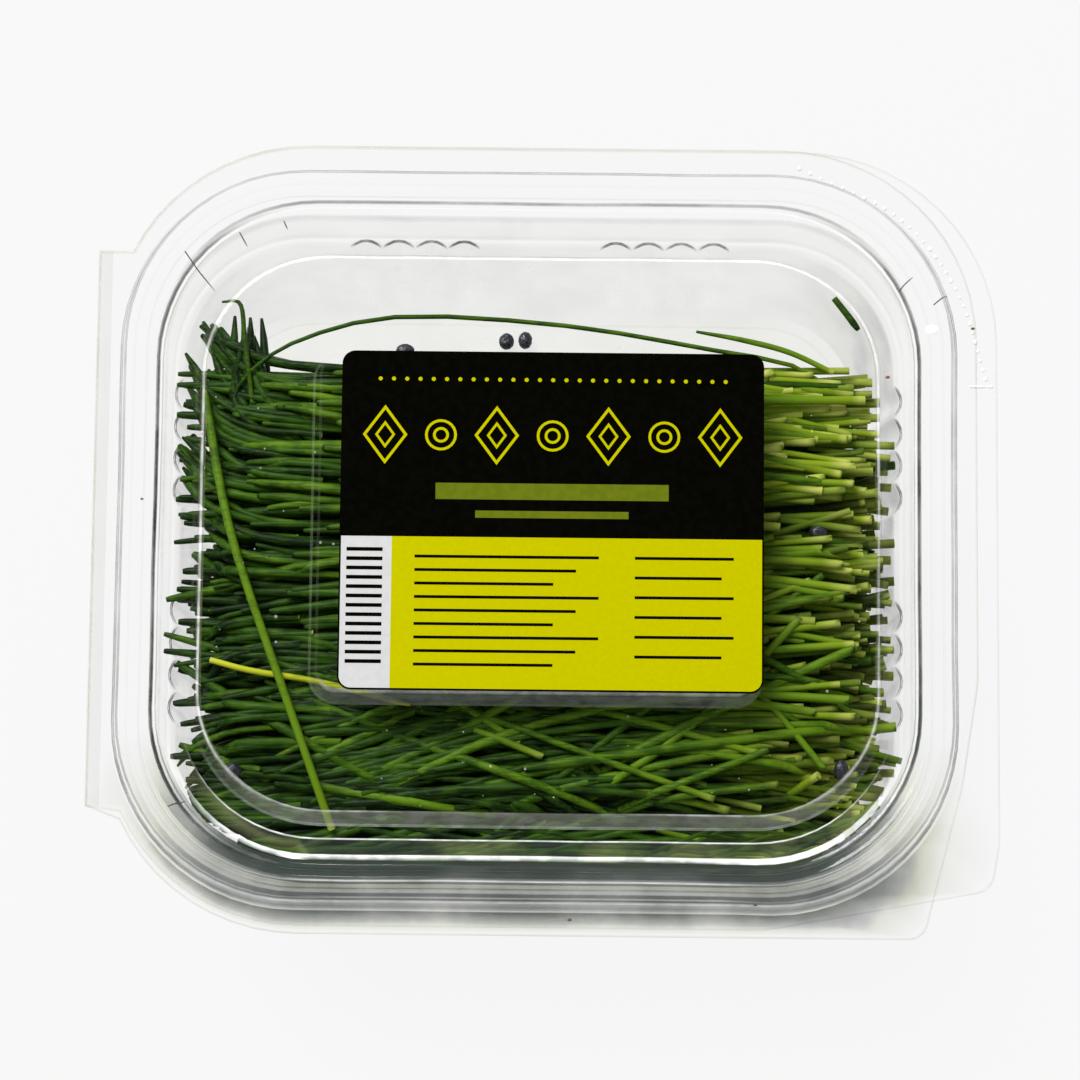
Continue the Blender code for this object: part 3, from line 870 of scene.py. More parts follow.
@dataclass
class SheetPress:
    """Forms clear sheets through rings of points."""

    sheet: float = 0.26 * MM
    least_step: float = 0.03

    def plain(self, outline: Outline, z: float, line: float = 0) -> Ring:
        """A ring with the same line all round, and no shine."""
        return Ring(outline, z, [(line, 0)] * len(outline))

    def rings(
        self, form: RoundedForm, base: float, bends: Sequence[Bend], traces: Sequence[Trace]
    ) -> list[Ring]:
        """The rings of a profile on a form, with finer ones where a trace starts and stops.

        Args:
            form: the form that they follow.
            base: the height of a rise of 0.
            bends: the profile.
            traces: what shows on it.

        Returns:
            The rings, from outside in.
        """
        profile = softened(bends)
        first, last = profile[0].inset, profile[-1].inset
        stops = [bend.inset for bend in profile]
        stops += [stop for trace in traces for stop in trace.stops() if first < stop < last]
        made: list[Ring] = []
        before = first - 1
        for inset in sorted(stops):
            if inset - before < self.least_step:
                continue
            before = inset
            bend = self.at(profile, inset)
            outline = form.ring(inset * MM, bend.flute * MM)
            marks = [self.marks(form, traces, inset, x, y) for x, y in outline]
            made.append(Ring(outline, base + bend.rise * MM, marks))
        return made

    def at(self, profile: Sequence[Bend], inset: float) -> Bend:
        """The profile at an inset.

        Args:
            profile: the bends, from outside in.
            inset: in millimetres.

        Returns:
            The place on the profile.
        """
        for near, far in zip(profile, profile[1:]):
            if near.inset <= inset <= far.inset:
                return near.towards(far, (inset - near.inset) / max(1e-6, far.inset - near.inset))
        return profile[-1]

    def marks(
        self, form: RoundedForm, traces: Sequence[Trace], inset: float, x: float, y: float
    ) -> tuple[float, float]:
        """The line and shine at a place of a ring.

        Args:
            form: the ring's form.
            traces: what shows on the sheet.
            inset: the ring's inset in millimetres.
            x: the place's x.
            y: the place's y.

        Returns:
            The line and the shine, from 0 to 1.
        """
        out, flute = form.outward(x, y), form.flute(x, y)
        weights = [(trace, trace.strength(inset) * trace.side.weight(out, flute)) for trace in traces]
        line = sum(trace.line * weight for trace, weight in weights)
        shine = sum(trace.shine * weight for trace, weight in weights)
        return min(1.0, line), min(1.0, shine)

    def loop(self, bm: Mesh, outline: Outline, z: float) -> Edges:
        """A closed loop of edges at one height."""
        corners = [bm.verts.new((x, y, z)) for x, y in outline]
        return [bm.edges.new((corners[i - 1], corner)) for i, corner in enumerate(corners)]

    def corners(self, loop: Edges) -> list[bmesh.types.BMVert]:
        """The loop's corners, each where an edge meets the one before it."""
        return [(set(loop[i - 1].verts) & set(edge.verts)).pop() for i, edge in enumerate(loop)]

    def grown(
        self, bm: Mesh, loop: Edges, outline: Outline, z: float
    ) -> Edges:
        """A loop extruded from another, with its corners moved to an outline.

        Args:
            bm: the mesh.
            loop: the loop to extrude.
            outline: as many points as the loop has corners.
            z: the new loop's height.

        Returns:
            The new loop's edges.
        """
        new = set(bmesh.ops.extrude_edge_only(bm, edges=loop)["geom"])
        moved = []
        for corner, (x, y) in zip(self.corners(loop), outline[-1:] + outline[:-1]):
            far = next(v for v in (e.other_vert(corner) for e in corner.link_edges) if v in new)
            far.co = (x, y, z)
            moved.append(far)
        pairs = zip(moved, moved[1:] + moved[:1])
        return [next(e for e in a.link_edges if e.other_vert(a) is b) for a, b in pairs]

    def formed(self, rings: Sequence[Ring]) -> Mesh:
        """A sheet through its rings, with their line and shine, the painted dark reflections and painted
        highlights, on it.

        Args:
            rings: from outside in; the last one is filled.

        Returns:
            The sheet's middle surface.
        """
        bm = bmesh.new()
        layers = [bm.verts.layers.float.new(name) for name in ("line", "shine")]
        loop = self.loop(bm, rings[0].outline, rings[0].z)
        self.paint(loop, layers, rings[0])
        for before, ring in zip(rings, rings[1:]):
            if len(before.outline) == len(ring.outline):
                loop = self.grown(bm, loop, ring.outline, ring.z)
            else:
                inner = self.loop(bm, ring.outline, ring.z)
                bmesh.ops.triangle_fill(bm, edges=loop + inner, normal=(0, 0, 1), use_beauty=True)
                loop = inner
            self.paint(loop, layers, ring)
        bmesh.ops.contextual_create(bm, geom=loop)
        bmesh.ops.recalc_face_normals(bm, faces=bm.faces)
        return bm

    def paint(self, loop: Edges, layers: Sequence[object], ring: Ring) -> None:
        """Gives a loop's corners the line and shine of its ring.

        Args:
            loop: the loop's edges.
            layers: the attributes that line and shine go into.
            ring: the loop's ring.
        """
        marks = ring.marks[-1:] + ring.marks[:-1]
        for corner, values in zip(self.corners(loop), marks):
            for layer, value in zip(layers, values):
                corner[layer] = value

    def finished(self, name: str, bm: Mesh, body: Body) -> Piece:
        """The sheet with its thickness, dressed as clear plastic.

        Args:
            name: the piece's name.
            bm: its middle surface.
            body: what it moves with.

        Returns:
            The piece.
        """
        obj = made_piece(name, bm, [CLEAR_SHEET], body, Slot.CLEAR)
        obj.visible_shadow = False
        obj.visible_diffuse = False
        wall = obj.modifiers.new("wall", "SOLIDIFY")
        wall.thickness = self.sheet
        wall.offset = 0
        wall.solidify_mode = "NON_MANIFOLD"
        wall.nonmanifold_thickness_mode = "CONSTRAINTS"
        return obj


@dataclass
class PackOutline:
    """Plan sizes that the tray and the lid share."""

    fold_x: float = -68.8 * MM
    flange_left: float = -66.6 * MM
    flange_back: float = 61 * MM
    flange_radius: float = 30 * MM
    hinge_from: float = -42 * MM
    hinge_to: float = 44 * MM
    middle_x: float = -1.2 * MM
    half_x: float = 63.8 * MM
    half_y: float = 57 * MM
    radius: float = 28 * MM
    edge_width: float = 0.22 * MM

    def pocket(self) -> FlutedForm:
        """The form of the tray's pocket."""
        return FlutedForm((self.middle_x, 0), self.half_x, self.half_y, self.radius)

    def cover(self) -> RoundedForm:
        """The form of the lid, whose corners stay rounder.

        Returns:
            The form.
        """
        return RoundedForm(
            (self.middle_x, 0),
            self.half_x,
            self.half_y,
            self.radius,
            tighten=0.7,
            wobble=0.16 * MM,
            shift=(0.35 * MM, -0.55 * MM),
            narrowing=0.034,
        )

    def edge(self, press: SheetPress, outline: Outline, z: float, line: float) -> list[Ring]:
        """The flange's cut edge, a thin line of painted dark reflection round its outline.

        Args:
            press: what forms the sheet.
            outline: the flange's outline.
            z: its height.
            line: how dark the painted line is.

        Returns:
            Its rings, from outside in.
        """
        middle = inset_outline(outline, self.edge_width)
        inner = inset_outline(outline, self.edge_width * 1.8)
        return [press.plain(outline, z, line), press.plain(middle, z, line * 0.6), press.plain(inner, z)]

    def with_hinge_strip(self, outline: Outline) -> Outline:
        """The outline with its left side moved out to the fold, over the length of the hinge.

        Args:
            outline: the flange's outline.

        Returns:
            The outline with its hinge strip.
        """
        kept = [p for p in outline if p[0] > 0 or not self.hinge_from < p[1] < self.hinge_to]
        last_back = max(index for index, p in enumerate(kept) if p[0] < 0 and p[1] > 0)
        strip = [(self.fold_x, self.hinge_to), (self.fold_x, self.hinge_from)]
        return kept[: last_back + 1] + strip + kept[last_back + 1 :]

    def held(self, place: Vector, inset: float) -> Vector:
        """The place moved level, where need be, to inside the lid's outline at an inset.

        Args:
            place: a place in the pack.
            inset: from the bead, in metres.

        Returns:
            The place inside.
        """
        half_x, half_y, radius = self.cover().sizes(inset)
        x = max(-half_x, min(half_x, place.x - self.middle_x))
        y = max(-half_y, min(half_y, place.y))
        corner = Vector((abs(x) - half_x + radius, abs(y) - half_y + radius))
        if corner.x > 0 and corner.y > 0 and corner.length > radius:
            corner *= radius / corner.length
            x = math.copysign(half_x - radius + corner.x, x)
            y = math.copysign(half_y - radius + corner.y, y)
        return Vector((self.middle_x + x, y, place.z))


@dataclass
class TraySheet:
    """The tray: flange with a tab, bead, smooth upper wall, shelf, fluted wall and ribbed floor."""

    plan: PackOutline
    press: SheetPress
    flange_z: float = 37.55 * MM
    right: float = 69 * MM
    front: float = -59.7 * MM
    corner_steps: int = 14
    bends: tuple[Bend, ...] = (
        Bend(0.9, 0),
        Bend(1.7, 0),
        Bend(2.3, 1.45),
        Bend(3.3, 1.45),
        Bend(3.9, 0),
        Bend(5.9, 0),
        Bend(6.6, -0.65),
        Bend(7.2, -12.6),
        Bend(8.5, -12.6, 1.1),
        Bend(12.6, -34.25, 0.5),
        Bend(13.4, -36.4, 0.3),
        Bend(15, -37.25, 0.1),
        Bend(21.8, -37.25),
        Bend(23.3, -35.85),
        Bend(26.3, -35.85),
        Bend(27.8, -37.25),
    )
    # Traces: line values are painted dark reflections at the bends, and the wide faint one from inset 8 to 60
    # is painted shade over the floor and walls; shine values are painted highlights, most on the flute
    # crests.
    traces: tuple[Trace, ...] = (
        *traced(Side.ALL, (1.9, 1.96, 0.1, 0), (3.85, 3.9, 0.12, 0), (6.6, 7.1, 0.06, 0.03)),
        *traced(Side.ALL, (8, 60, 0.095, 0, 0.6), (14.9, 15.1, 0.06, 0)),
        *traced(Side.REST, (6.62, 6.7, 0.1, 0), (7.15, 7.2, 0.1, 0)),
        *traced(Side.SCALLOP, (8.4, 8.55, 0.9, 0)),
        *traced(Side.FLUTE, (8.7, 13, 0, 0.22)),
        *traced(Side.RIGHT, (8.7, 13.4, 0.22, 0)),
        *traced(Side.LEFT, (8.7, 13.4, 0.1, 0)),
        *traced(Side.FRONT, (6.7, 7.1, 0.8, 0), (-0.5, 6.4, 0.5, 0, 1.2)),
    )

    def outline(self) -> Outline:
        """The flange, whose front right corner runs out into the tab.

        Returns:
            The outline's points.
        """
        corners = (
            (self.right, self.plan.flange_back, self.plan.flange_radius),
            (self.plan.flange_left, self.plan.flange_back, self.plan.flange_radius),
            (self.plan.flange_left, self.front, self.plan.flange_radius),
            (34 * MM, self.front, 20 * MM),
            (67.8 * MM, -53.4 * MM, 3.5 * MM),
            (self.right, -46 * MM, 10 * MM),
        )
        return self.plan.with_hinge_strip(rounded_outline(corners, self.corner_steps))

    def build(self) -> Piece:
        """Builds the tray over its solid.

        Returns:
            The sheet.
        """
        rings = self.plan.edge(self.press, self.outline(), self.flange_z, 0.14)
        rings += self.press.rings(self.plan.pocket(), self.flange_z, self.bends, self.traces)
        obj = self.press.finished("tray_sheet", self.press.formed(rings), Body.TRAY)
        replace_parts(obj, "tray")
        return obj


@dataclass
class LidSheet:
    """The lid: flange with a tab, bead, shoulder, raised top and the label's panel."""

    plan: PackOutline
    press: SheetPress
    flange_z: float = 38.45 * MM
    right: float = 65.8 * MM
    front: float = -61 * MM
    corner_steps: int = 14
    panel_half_x: float = 34 * MM
    panel_half_y: float = 26.9 * MM
    panel_radius: float = 4.2 * MM
    bends: tuple[Bend, ...] = (
        Bend(-0.6, 0),
        Bend(0, 0),
        Bend(0.6, 2.75),
        Bend(1.3, 3.25),
        Bend(4.4, 3.25),
        Bend(5.2, 2.75),
        Bend(5.7, 0.85),
        Bend(6.4, 0.5),
        Bend(11.2, 0.6),
        Bend(12.1, 4.7),
        Bend(12.8, 5.4),
        Bend(13.6, 5.4),
    )
    # Traces: line values are painted dark reflections at the bends and shine values are painted highlights,
    # strongest at the front.
    traces: tuple[Trace, ...] = (
        *traced(Side.BACK, (0, 0.1, 0.4, 0), (5.36, 5.46, 0.5, 0), (12.55, 12.61, 0.35, 0)),
        *traced(Side.BACK, (12.75, 12.88, 0, 0.8)),
        *traced(Side.ENDS, (0, 0.22, 0.95, 0), (5.6, 5.82, 1, 0), (6.3, 6.4, 0.4, 0)),
        *traced(Side.ENDS, (12.28, 12.34, 0.35, 0), (12.5, 12.6, 0, 0.5), (12.85, 12.95, 0.35, 0)),
        *traced(Side.REST, (0.36, 0.52, 0, 0.14), (0.74, 0.84, 0.5, 0), (5.95, 6.05, 0, 0.25)),
        *traced(Side.REST, (11.3, 11.36, 0.1, 0)),
        *traced(Side.FRONT, (-0.6, -0.5, 0.6, 0, 0.1), (-0.3, -0.05, 0.25, 0), (0.05, 0.3, 0.36, 0)),
        *traced(Side.FRONT, (0.65, 0.7, 0, 0.4), (0.85, 1, 0.6, 0), (1.2, 1.75, 0.54, 0), (2, 2.05, 0, 0.25)),
        *traced(Side.FRONT, (2.2, 2.5, 0.4, 0), (2.7, 3.1, 0.2, 0), (3.3, 3.45, 0.5, 0), (3.65, 3.7, 0, 0.2)),
        *traced(Side.FRONT, (3.74, 4.1, 0.5, 0), (4.15, 6.9, 1, 0), (7.12, 7.62, 0, 1), (7.8, 9.45, 0.32, 0)),
        *traced(Side.FRONT, (9.62, 9.67, 0, 0.75), (11.25, 11.3, 0, 0.35), (11.3, 12.7, 0.1, 0.06)),
        *traced(Side.FRONT, (12.75, 12.8, 0, 0.35)),
    )
    panel_bends: tuple[Bend, ...] = (
        Bend(-0.8, 0),
        Bend(0, 0),
        Bend(1, 4),
        Bend(1.6, 4.6),
        Bend(2.4, 4.6),
    )
    # Painted dark reflections and painted highlights at the panel's bends.
    panel_traces: tuple[Trace, ...] = (
        *traced(Side.ALL, (-0.05, 0, 0.1, 0.07), (1.15, 1.2, 0, 0.05)),
        *traced(Side.FRONT, (0.1, 0.9, 0.5, 0.05), (1.1, 1.5, 0, 0.2)),
    )

    def top_z(self) -> float:
        """Height of the middle of the sheet on the raised top."""
        return self.flange_z + self.bends[-1].rise * MM

    def outline(self) -> Outline:
        """The flange, whose tab is narrower than the tray's and reaches further to the front.

        Returns:
            The outline's points.
        """
        corners = (
            (self.right, self.plan.flange_back, self.plan.flange_radius),
            (self.plan.flange_left, self.plan.flange_back, self.plan.flange_radius),
            (self.plan.flange_left, self.front, self.plan.flange_radius),
            (57.4 * MM, self.front, 3 * MM),
            (63.4 * MM, -37.5 * MM, 25 * MM),
            (self.right, -22 * MM, 25 * MM),
        )
        return self.plan.with_hinge_strip(rounded_outline(corners, self.corner_steps))

    def build(self) -> Piece:
        """Builds the lid over its solid.

        Returns:
            The sheet.
        """
        rings = self.plan.edge(self.press, self.outline(), self.flange_z, 0.2)
        rings += self.press.rings(self.plan.cover(), self.flange_z, self.bends, self.traces)
        panel = RoundedForm(
            (self.plan.middle_x, 0), self.panel_half_x, self.panel_half_y, self.panel_radius, along=12
        )
        rings += self.press.rings(panel, self.top_z(), self.panel_bends, self.panel_traces)
        obj = self.press.finished("lid_sheet", self.press.formed(rings), Body.LID)
        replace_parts(obj, "lid")
        return obj


@dataclass
class HingeWeb:
    """The fold that joins the two halves: a narrow web bent round the hinge's axis."""

    plan: PackOutline
    press: SheetPress
    axis: Triple = (-69 * MM, 0, 38 * MM)
    reach: float = 1.6 * MM
    half_gap: float = 0.45 * MM
    outside: float = 0.2 * MM
    thick: float = 0.3 * MM
    # A faint painted dark reflection over the whole web.
    line: float = 0.03
    bend_steps: int = 8
    length_steps: int = 24

    def build(self) -> Piece:
        """Builds the web between tray and lid.

        Returns:
            The web.
        """
        half = self.half_gap
        centre_x = self.axis[0] + half + self.outside
        turns = [math.pi * (0.5 + step / self.bend_steps) for step in range(self.bend_steps + 1)]
        section = [(centre_x + self.reach, self.axis[2] + half)]
        section += [(centre_x + half * math.cos(a), self.axis[2] + half * math.sin(a)) for a in turns]
        section.append((centre_x + self.reach, self.axis[2] - half))
        bm = bmesh.new()
        line = bm.verts.layers.float.new("line")
        bm.verts.layers.float.new("shine")
        corners = [bm.verts.new((x, self.plan.hinge_from, z)) for x, z in section]
        edges = [bm.edges.new(pair) for pair in zip(corners, corners[1:])]
        step = (self.plan.hinge_to - self.plan.hinge_from) / self.length_steps
        for _ in range(self.length_steps):
            grown = bmesh.ops.extrude_edge_only(bm, edges=edges)["geom"]
            moved = [item for item in grown if isinstance(item, bmesh.types.BMVert)]
            bmesh.ops.translate(bm, vec=(0, step, 0), verts=moved)
            edges = [e for e in grown if isinstance(e, bmesh.types.BMEdge) and set(e.verts) <= set(moved)]
        for corner in bm.verts:
            corner[line] = self.line
        bmesh.ops.recalc_face_normals(bm, faces=bm.faces)
        obj = made_piece("hinge_web", bm, [CLEAR_SHEET], Body.TRAY, Slot.CLEAR)
        obj.parent = None
        wall = obj.modifiers.new("wall", "SOLIDIFY")
        wall.thickness = self.thick
        wall.offset = 0
        low = Vector(self.axis) - Vector((0, 0, half))
        high = Vector(self.axis) + Vector((0, 0, half))
        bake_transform(obj)
        return obj


@dataclass
class Label:
    """The label: a dark field over a bright one, with a generic design of bars, rings and rules.

    The design's places and sizes are in millimetres from the label's middle.
    """

    middle: Point = (1 * MM, 0.3 * MM)
    half_x: float = 31.8 * MM
    half_y: float = 25.9 * MM
    radius: float = 2 * MM
    steps: int = 8
    thick: float = 0.3 * MM
    print_thick: float = 0.03 * MM
    sunk: float = 0.4
    dark_from: float = -2.6 * MM
    strip_width: float = 7.6 * MM
    border: float = 0.25 * MM
    chain: int = 7
    chain_from: Point = (-25.2, 13)
    chain_step: float = 8.4
    diamonds: tuple[Triple, ...] = ((3.1, 4.2, 0.42), (1.3, 1.8, 0.36))
    ring_radii: Point = (2.2, 1.0)
    ring_line: float = 0.4
    ring_steps: int = 24
    bars: tuple[tuple[float, ...], ...] = ((0, 4.4, 17.5, 1.25), (0, 0.9, 11.5, 0.55))
    dots: int = 27
    dots_from: Point = (-26, 21.6)
    dot_radius: float = 0.32
    dot_step: float = 2
    dot_steps: int = 10
    finishes: tuple[PlainFinish, ...] = (LABEL_BLACK, LABEL_YELLOW, LABEL_OLIVE, LABEL_WHITE)

    def raised(
        self, bm: Mesh, faces: list[bmesh.types.BMFace], thick: float, finish: PlainFinish
    ) -> None:
        """Gives flat faces a thickness and a finish.

        Args:
            bm: their mesh.
            faces: what to raise.
            thick: how far.
            finish: what they are printed in.
        """
        flat = {corner for face in faces for corner in face.verts}
        grown = bmesh.ops.extrude_face_region(bm, geom=faces)["geom"]
        upper = [item for item in grown if isinstance(item, bmesh.types.BMVert)]
        bmesh.ops.translate(bm, vec=(0, 0, thick), verts=upper)
        for face in {f for corner in flat.union(upper) for f in corner.link_faces}:
            face.material_index = self.finishes.index(finish)

    def plate(self, bm: Mesh, outline: Outline, low: float, thick: float, finish: PlainFinish) -> None:
        """A flat plate, its outline measured from the label's middle and its low side from the floor."""
        corners = [bm.verts.new((self.middle[0] + x, self.middle[1] + y, low)) for x, y in outline]
        self.raised(bm, [bm.faces.new(corners)], thick, finish)

    def bar(self, x: float, y: float, half_x: float, half_y: float) -> Outline:
        """A small rectangle round a place."""
        corners = ((1, 1), (-1, 1), (-1, -1), (1, -1))
        return [((x + half_x * a) * MM, (y + half_y * b) * MM) for a, b in corners]

    def disc(self, x: float, y: float) -> Outline:
        """A dot round a place."""
        turn = math.tau * (self.dot_steps - 1) / self.dot_steps
        return arc((x * MM, y * MM), self.dot_radius * MM, 0, turn, self.dot_steps - 1)

    def band(self, bm: Mesh, points: Sequence[Point], width: float, low: float) -> None:
        """A drawn closed line.

        Args:
            bm: the mesh it joins.
            points: the line's middle, anticlockwise.
            width: its width.
            low: the height of its underside.
        """
        middle = [((x * MM) + self.middle[0], (y * MM) + self.middle[1]) for x, y in points]
        edges = []
        for distance in (-width / 2 * MM, width / 2 * MM):
            corners = [bm.verts.new((x, y, low)) for x, y in inset_outline(middle, distance)]
            edges += [bm.edges.new((corners[i - 1], corner)) for i, corner in enumerate(corners)]
        faces = bmesh.ops.bridge_loops(bm, edges=edges)["faces"]
        self.raised(bm, faces, self.print_thick, LABEL_YELLOW)

    def fields(self, bm: Mesh, low: float) -> None:
        """The bright field and the pale strip, set into the dark label's lower part.

        Args:
            bm: the mesh they join.
            low: the height of their underside.
        """
        dark = self.dark_from
        left, right = -self.half_x + self.border, self.half_x - self.border
        bottom = -self.half_y + self.border
        radius = self.radius - self.border
        split = left + self.strip_width
        right_corner = arc((right - radius, bottom + radius), radius, -math.pi / 2, math.pi / 2, self.steps)
        left_corner = arc((left + radius, bottom + radius), radius, math.pi, math.pi / 2, self.steps)
        yellow = [(split, bottom)] + right_corner + [(right, dark), (split, dark)]
        white = left_corner + [(split, bottom), (split, dark), (left, dark)]
        self.plate(bm, yellow, low, self.print_thick, LABEL_YELLOW)
        self.plate(bm, white, low, self.print_thick, LABEL_WHITE)

    def links(self, bm: Mesh, low: float) -> None:
        """A chain of line-drawn diamonds and rings across the dark field.

        Args:
            bm: the mesh they join.
            low: the height of their underside.
        """
        y = self.chain_from[1]
        for index in range(self.chain):
            x = self.chain_from[0] + index * self.chain_step
            if index % 2 == 0:
                for reach_x, reach_y, width in self.diamonds:
                    diamond = [(x + reach_x, y), (x, y + reach_y), (x - reach_x, y), (x, y - reach_y)]
                    self.band(bm, diamond, width, low)
            else:
                turns = self.ring_steps - 1
                for radius in self.ring_radii:
                    ring = arc((x, y), radius, 0, math.tau * turns / self.ring_steps, turns)
                    self.band(bm, ring, self.ring_line, low)

    def rules(self) -> Iterable[Outline]:
        """Plain rules: two blocks of them on the bright field and a row on the pale strip.

        Returns:
            Each rule's outline.
        """
        for row in range(9):
            half = 13.8 - 1.7 * (row % 3)
            yield self.bar(-20.5 + half, -5.6 - row * 2.05, half, 0.22)
        for row in range(6):
            half = 7.4 - 0.9 * (row % 2)
            yield self.bar(12.5 + half, -5.6 - row * 3.0, half, 0.22)
        for row in range(13):
            yield self.bar(-28, -4.6 - row * 1.42, 2.7, 0.28)

    def build(self, low: float) -> Piece:
        """Builds the label on the lid's panel.

        Args:
            low: the height of its underside.

        Returns:
            The label.
        """
        bm = bmesh.new()
        sheet = rounded_rectangle((0, 0), self.half_x, self.half_y, self.radius, self.steps)
        self.plate(bm, sheet, low, self.thick, LABEL_BLACK)
        level = low + self.thick - self.print_thick * self.sunk
        self.fields(bm, level)
        self.links(bm, level)
        for bar in self.bars:
            self.plate(bm, self.bar(*bar), level, self.print_thick, LABEL_OLIVE)
        for index in range(self.dots):
            dot = self.disc(self.dots_from[0] + index * self.dot_step, self.dots_from[1])
            self.plate(bm, dot, level, self.print_thick, LABEL_YELLOW)
        over = level + self.print_thick * (1 - self.sunk)
        for rule in self.rules():
            self.plate(bm, rule, over, self.print_thick, LABEL_BLACK)
        bmesh.ops.recalc_face_normals(bm, faces=bm.faces)
        obj = made_piece("label_face", bm, self.finishes, Body.LID, Slot.LABEL)
        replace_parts(obj, "label")
        return obj


@dataclass
class Blade:
    """One chive shoot: its path from cut end to tip, width, tone, paleness and how its tip narrows."""

    path: list[Vector]
    width: float
    tone: float
    pale: float = 0.8
    taper: float = 0.04
    tip: float = 0.45


def smooth_path(points: Sequence[Vector], count: int) -> list[Vector]:
    """Evenly shared points on a smooth curve through others."""
    return [place_on(points, index / (count - 1)) for index in range(count)]


def place_on(points: Sequence[Vector], share: float) -> Vector:
    """The place at a share of the way along the smooth curve through points.

    Args:
        points: what the curve goes through.
        share: from 0 to 1.

    Returns:
        The place.
    """
    ends = [points[0] * 2 - points[1], *points, points[-1] * 2 - points[-2]]
    place = share * (len(points) - 1)
    at = min(int(place), len(points) - 2)
    t = place - at
    a, b, c, d = ends[at : at + 4]
    curve = b * 2 + (c - a) * t + (a * 2 - b * 5 + c * 4 - d) * t**2 + (b * 3 - a - c * 3 + d) * t**3
    return curve / 2


@dataclass
class BladeMaker:
    """Turns blades into one mesh of slim tapering tubes."""

    points: int = 13
    resolution: int = 1
    first_step: float = 0.012
    merge: float = 0.001 * MM
    root: float = 0.9
    swell: float = 0.12
    round_tip: float = 1.6

    def radius(self, blade: Blade, share: float) -> float:
        """Half the width at a share of the length, which narrows over its last stretch.

        Args:
            blade: whose width.
            share: from 0 at its cut end to 1 at its tip.

        Returns:
            The radius.
        """
        left = max(0.0, (share - 1 + blade.taper) / blade.taper)
        narrow = 1 - (1 - blade.tip) * left**self.round_tip
        return blade.width / 2 * (self.root + self.swell * share) * narrow

    def shares(self) -> list[float]:
        """Where along a blade its rings stand, with a short step at each end."""
        inner, long = self.points - 3, 1 - 2 * self.first_step
        return [0.0] + [self.first_step + long * index / inner for index in range(inner + 1)] + [1.0]

    def mesh(self, blades: Sequence[Blade]) -> Mesh:
        """All blades in one mesh, with their tone and place along as attributes.

        Args:
            blades: what to build.

        Returns:
            The mesh.
        """
        curve = bpy.data.curves.new("blades", "CURVE")
        curve.dimensions = "3D"
        curve.bevel_depth = 1
        curve.bevel_resolution = self.resolution
        curve.use_fill_caps = True
        for blade in blades:
            spline = curve.splines.new("POLY")
            spline.points.add(self.points - 1)
            for point, share in zip(spline.points, self.shares()):
                point.co = (*place_on(blade.path, share), 1)
                point.radius = self.radius(blade, share)
        tube = bpy.data.objects.new("blades", curve)
        bm = bmesh.new()
        bm.from_mesh(tube.to_mesh())
        bpy.data.objects.remove(tube)
        bpy.data.curves.remove(curve)
        self.tag(bm, blades)
        return bm

    def tag(self, bm: Mesh, blades: Sequence[Blade]) -> None:
        """Writes each blade's tone, paleness and the place along it on its corners.

        The mesh holds two caps of every blade first, tip and then cut end, and then every tube.

        Args:
            bm: the blades' mesh.
            blades: what it was built from, in order.
        """
        tone, pale, along = (bm.verts.layers.float.new(name) for name in ("tone", "pale", "along"))
        sides = len(bm.verts) // (len(blades) * (self.points + 2))
        caps = 2 * len(blades)
        shares = self.shares()
        for index, corner in enumerate(bm.verts):
            ring = index // sides
            if ring < caps:
                blade, share = blades[ring // 2], 1 - ring % 2
            else:
                blade = blades[(ring - caps) // self.points]
                share = shares[(ring - caps) % self.points]
            corner[tone] = blade.tone
            corner[pale] = blade.pale
            corner[along] = share
        bmesh.ops.remove_doubles(bm, verts=bm.verts, dist=self.merge)
        bmesh.ops.recalc_face_normals(bm, faces=bm.faces)


def blade_piece(
    name: str,
    bm: Mesh,
    skin: Finish = CHIVE_SKIN,
    body: Body = Body.TRAY,
    slot: Slot = Slot.GREEN,
) -> Piece:
    """A piece of blades, shaded smooth all round."""
    return made_piece(name, bm, [skin], body, slot, crease=75)


@dataclass
class HeapRoom:
    """The space that the pack leaves for its chives."""

    plan: PackOutline
    floor: float = 2.1 * MM
    flange: float = 37.2 * MM
    ceiling: float = 42.9 * MM
    raised_inset: float = 13.9 * MM
    most_moved: float = 2.2 * MM
    least_step: float = 0.5 * MM
    slack: float = 0.1 * MM
    walls: tuple[tuple[float, float], ...] = (
        (6.6 * MM, 36.9 * MM),
        (7.2 * MM, 24.95 * MM),
        (8.5 * MM, 24.95 * MM),
        (12.6 * MM, 3.3 * MM),
        (15 * MM, 0.3 * MM),
    )

    def wall_inset(self, z: float) -> float:
        """How far inside the bead the tray's wall stands at a height.

        Args:
            z: the height.

        Returns:
            The inset in metres.
        """
        for (upper_inset, upper), (lower_inset, lower) in zip(self.walls, self.walls[1:]):
            if upper > lower and z > lower:
                share = min(1, (z - lower) / (upper - lower))
                return lower_inset + (upper_inset - lower_inset) * share
        return self.walls[-1][0]

    def kept(self, path: Sequence[Vector], spare: float) -> list[Vector]:
        """The path moved, where need be, to stay inside the tray's walls and under the lid.

        Args:
            path: a blade's points.
            spare: how much room its thickness needs.

        Returns:
            The moved points.
        """
        inset = self.raised_inset + spare
        outside = [(place - self.plan.held(place, inset)).length > self.slack for place in path]
        kept: list[Vector] = []
        for index, place in enumerate(path):
            near_outside = any(outside[max(0, index - 1) : index + 2])
            ceiling = self.flange if near_outside else self.ceiling
            z = min(ceiling - spare, max(self.floor + spare, place.z))
            level = Vector((place.x, place.y, z))
            inside = self.plan.held(level, self.wall_inset(z) + spare)
            if (inside - level).length > self.most_moved and (kept or index < len(path) - 3):
                continue
            if not kept or (inside - kept[-1]).length > self.least_step:
                kept.append(inside)
        return kept


@dataclass(frozen=True)
class Layer:
    """One layer of the heap: how deep it lies, its number of blades, their tone, which falls with depth as
    painted shade, and where they end.
    """

    upper: float
    lower: float
    blades: int
    tone: float
    left: tuple[float, float]
    right: Triple


